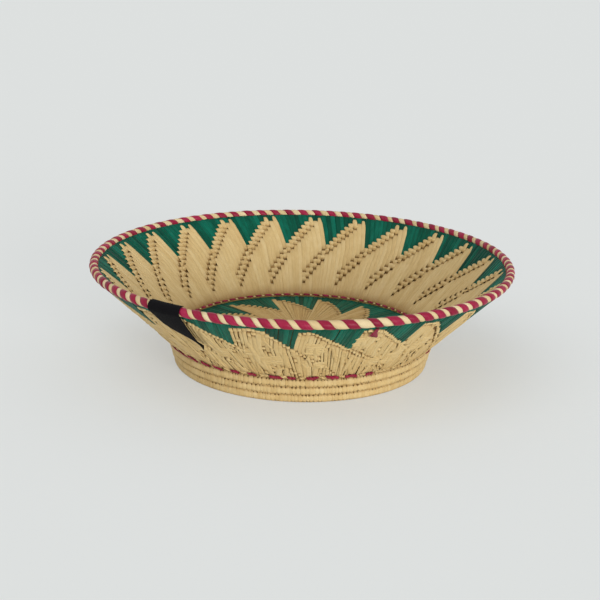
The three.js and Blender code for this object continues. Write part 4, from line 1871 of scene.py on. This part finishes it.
@dataclass
class Label:
    """The bare black tab of cloth that is folded over the rim.

    It hangs down outside, where its slant takes the lower corner across, and goes over the rim to the
    inside. Places along it are counted from where it leaves the rim, and are negative below that.
    """

    sizes: BasketSizes
    azimuth: float = 235.0
    width: float = 21.0
    drop: float = 33.0
    inner_turn: float = 160.0
    outer_level: float = 136.0
    clearance: float = 0.3
    thickness: float = 0.4
    slant: float = 0.93
    slant_start: float = 0.35
    bow: float = 0.8
    end_lift: float = 2.0
    lift_shares: tuple[float, float] = (0.4, 0.6)
    columns: int = 18
    rows: int = 44

    def __post_init__(self) -> None:
        """Prepares the flat cloth: its reach round the rim's bundle, and places on it."""
        self.reach = self.sizes.rim_half + self.clearance
        over = math.radians(self.inner_turn) * self.reach
        self.length = self.drop + over
        self.across = np.linspace(-1, 1, self.columns)
        self.along = np.linspace(over, -self.drop, self.rows)[:, None]

    def face(self, lift: float) -> Array:
        """Points of one face of the cloth.

        Args:
            lift: Height of the face above the under face.

        Returns:
            Array of rows, columns and coordinates.
        """
        rim, wall = self.sizes, self.sizes.wall(Side.OUTSIDE)
        hang = np.clip(-self.along / self.drop, 0, 1)
        half = np.degrees(self.width / 2 / rim.rim_radius)
        left = 2 * half * self.slant * smooth_share(hang, self.slant_start, 1.0) * hang - half
        azimuth = self.azimuth + left + (half - left) * (self.across + 1) / 2
        turn = self.outer_level - np.degrees(np.maximum(self.along, 0) / self.reach)
        on_rim = Ring(rim.rim_radius, rim.rim_height).profile(turn, self.reach + lift)
        curl = self.bow * np.sin(math.pi * hang) + self.end_lift * hang**2
        curl = curl * (self.lift_shares[0] + self.lift_shares[1] * self.across)
        on_wall = wall.profile(wall.length + np.minimum(self.along, 0), self.reach + lift + curl)
        radius, height = (np.where(self.along > 0, *parts) for parts in zip(on_rim, on_wall))
        return polar(azimuth, radius, height)

    def build(self) -> None:
        """Builds the cloth as one closed thin sheet, with its flat size as its lay."""
        under, upper = self.face(0.0), self.face(self.thickness)
        flat = stacked(self.across * self.width / 2, self.along, 0.0)
        rings = ((under, upper), (flat, flat))
        points, lay = (np.concatenate([near, far[:, ::-1]], axis=1)[None] for near, far in rings)
        weave = Weave()
        weave.add_grid(points, lay, 0.0)
        piece = weave.build("cloth_tab", CLOTH, "label")


def looking_back(away: Vector) -> Matrix:
    """Turn of a camera or lamp that stands away from the basket and looks back at it."""
    return (-away).to_track_quat("-Z", "Y").to_matrix().to_4x4()


@dataclass(frozen=True)
class Lamp:
    """A wide, soft lamp whose light comes from the direction of away, as if from a great distance.

    Its strength is in watts on a square metre, and its softness is an angle in degrees.
    """

    name: str
    away: tuple[float, float, float]
    strength: float
    softness: float

    def build(self) -> None:
        """Builds the lamp."""
        lamp = bpy.data.lights.new(self.name, "SUN")
        lamp.energy = self.strength
        lamp.angle = math.radians(self.softness)
        held = bpy.data.objects.new(self.name, lamp)
        away = Vector(self.away)
        held.matrix_world = Matrix.Translation(away) @ looking_back(away)
        bpy.context.scene.collection.objects.link(held)


@dataclass(frozen=True)
class Studio:
    """Pale floor, soft light and the camera at the photograph's angle."""

    target: tuple[float, float, float] = (0.0, 0.0, 0.030)
    distance: float = 0.8
    elevation: float = 17.5
    roll: float = 1.2
    lens: float = 78.65
    sensor: float = 36.0
    shift: tuple[float, float] = (-0.002, 0.018)
    clip: tuple[float, float] = (0.01, 100.0)
    ground: Colour = linear(245, 248, 247)
    ground_roughness: float = 0.9
    ground_size: float = 40.0
    ground_glow: float = 0.5
    backdrop: Colour = linear(224, 227, 226)
    room_light: float = 0.55
    lamps: tuple[Lamp, ...] = (
        Lamp("top", away=(-0.5, -0.6, 1.2), strength=0.55, softness=60.0),
        Lamp("front", away=(0.48, -0.87, 0.10), strength=2.15, softness=26.0),
    )

    def build(self) -> None:
        """Builds the stage, the lights and the camera."""
        bpy.context.scene.view_settings.view_transform = "Standard"
        self.build_camera()
        self.build_ground()
        self.build_world()
        for lamp in self.lamps:
            lamp.build()

    def build_camera(self) -> None:
        """Builds the camera."""
        camera = bpy.data.cameras.new("camera")
        camera.lens = self.lens
        camera.sensor_width = self.sensor
        camera.shift_x, camera.shift_y = self.shift
        camera.clip_start, camera.clip_end = self.clip
        held = bpy.data.objects.new("camera", camera)
        angle = math.radians(self.elevation)
        away = Vector((0, -math.cos(angle), math.sin(angle))) * self.distance
        turn = Matrix.Rotation(math.radians(self.roll), 4, "Z")
        held.matrix_world = Matrix.Translation(Vector(self.target) + away) @ looking_back(away) @ turn
        bpy.context.scene.collection.objects.link(held)
        bpy.context.scene.camera = held

    def build_ground(self) -> None:
        """Builds the pale floor, which glows a little where it is seen and keeps its shadow."""
        half = self.ground_size / 2
        corners = [(-half, -half, 0), (half, -half, 0), (half, half, 0), (-half, half, 0)]
        mesh = bpy.data.meshes.new("ground")
        mesh.from_pydata(corners, [], [(0, 1, 2, 3)])
        material = bpy.data.materials.new("pale_ground")
        sketch = NodeSketch(material, "Principled BSDF")
        inputs = {
            "Base Color": (*self.ground, 1),
            "Roughness": self.ground_roughness,
            "Specular IOR Level": 0.0,
        }
        sketch.fill(sketch.shader, inputs)
        sketch.show_backdrop("Emission", self.backdrop, self.ground_glow, "Material Output")
        mesh.materials.append(material)
        ground = bpy.data.objects.new("ground", mesh)
        bpy.context.scene.collection.objects.link(ground)

    def build_world(self) -> None:
        """Builds the even light all round, behind which the backdrop shows."""
        world = bpy.data.worlds.new("soft_room")
        sketch = NodeSketch(world, "Background")
        sketch.fill(sketch.shader, {"Color": (1, 1, 1, 1), "Strength": self.room_light})
        sketch.show_backdrop("Background", self.backdrop, 1.0, "World Output")
        bpy.context.scene.world = world


def main() -> None:
    """Builds the basket piece by piece in its studio."""
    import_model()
    sizes = BasketSizes.from_frame()
    Studio().build()
    for part in (InnerWall, OuterWall, Rim, Foot, Floor, EdgeStitches, Label):
        part(sizes).build()
        LOG.info("built %s", part.__name__)


if __name__ == "__main__":
    logging.basicConfig(level=logging.INFO, format="%(name)s: %(message)s")
    main()
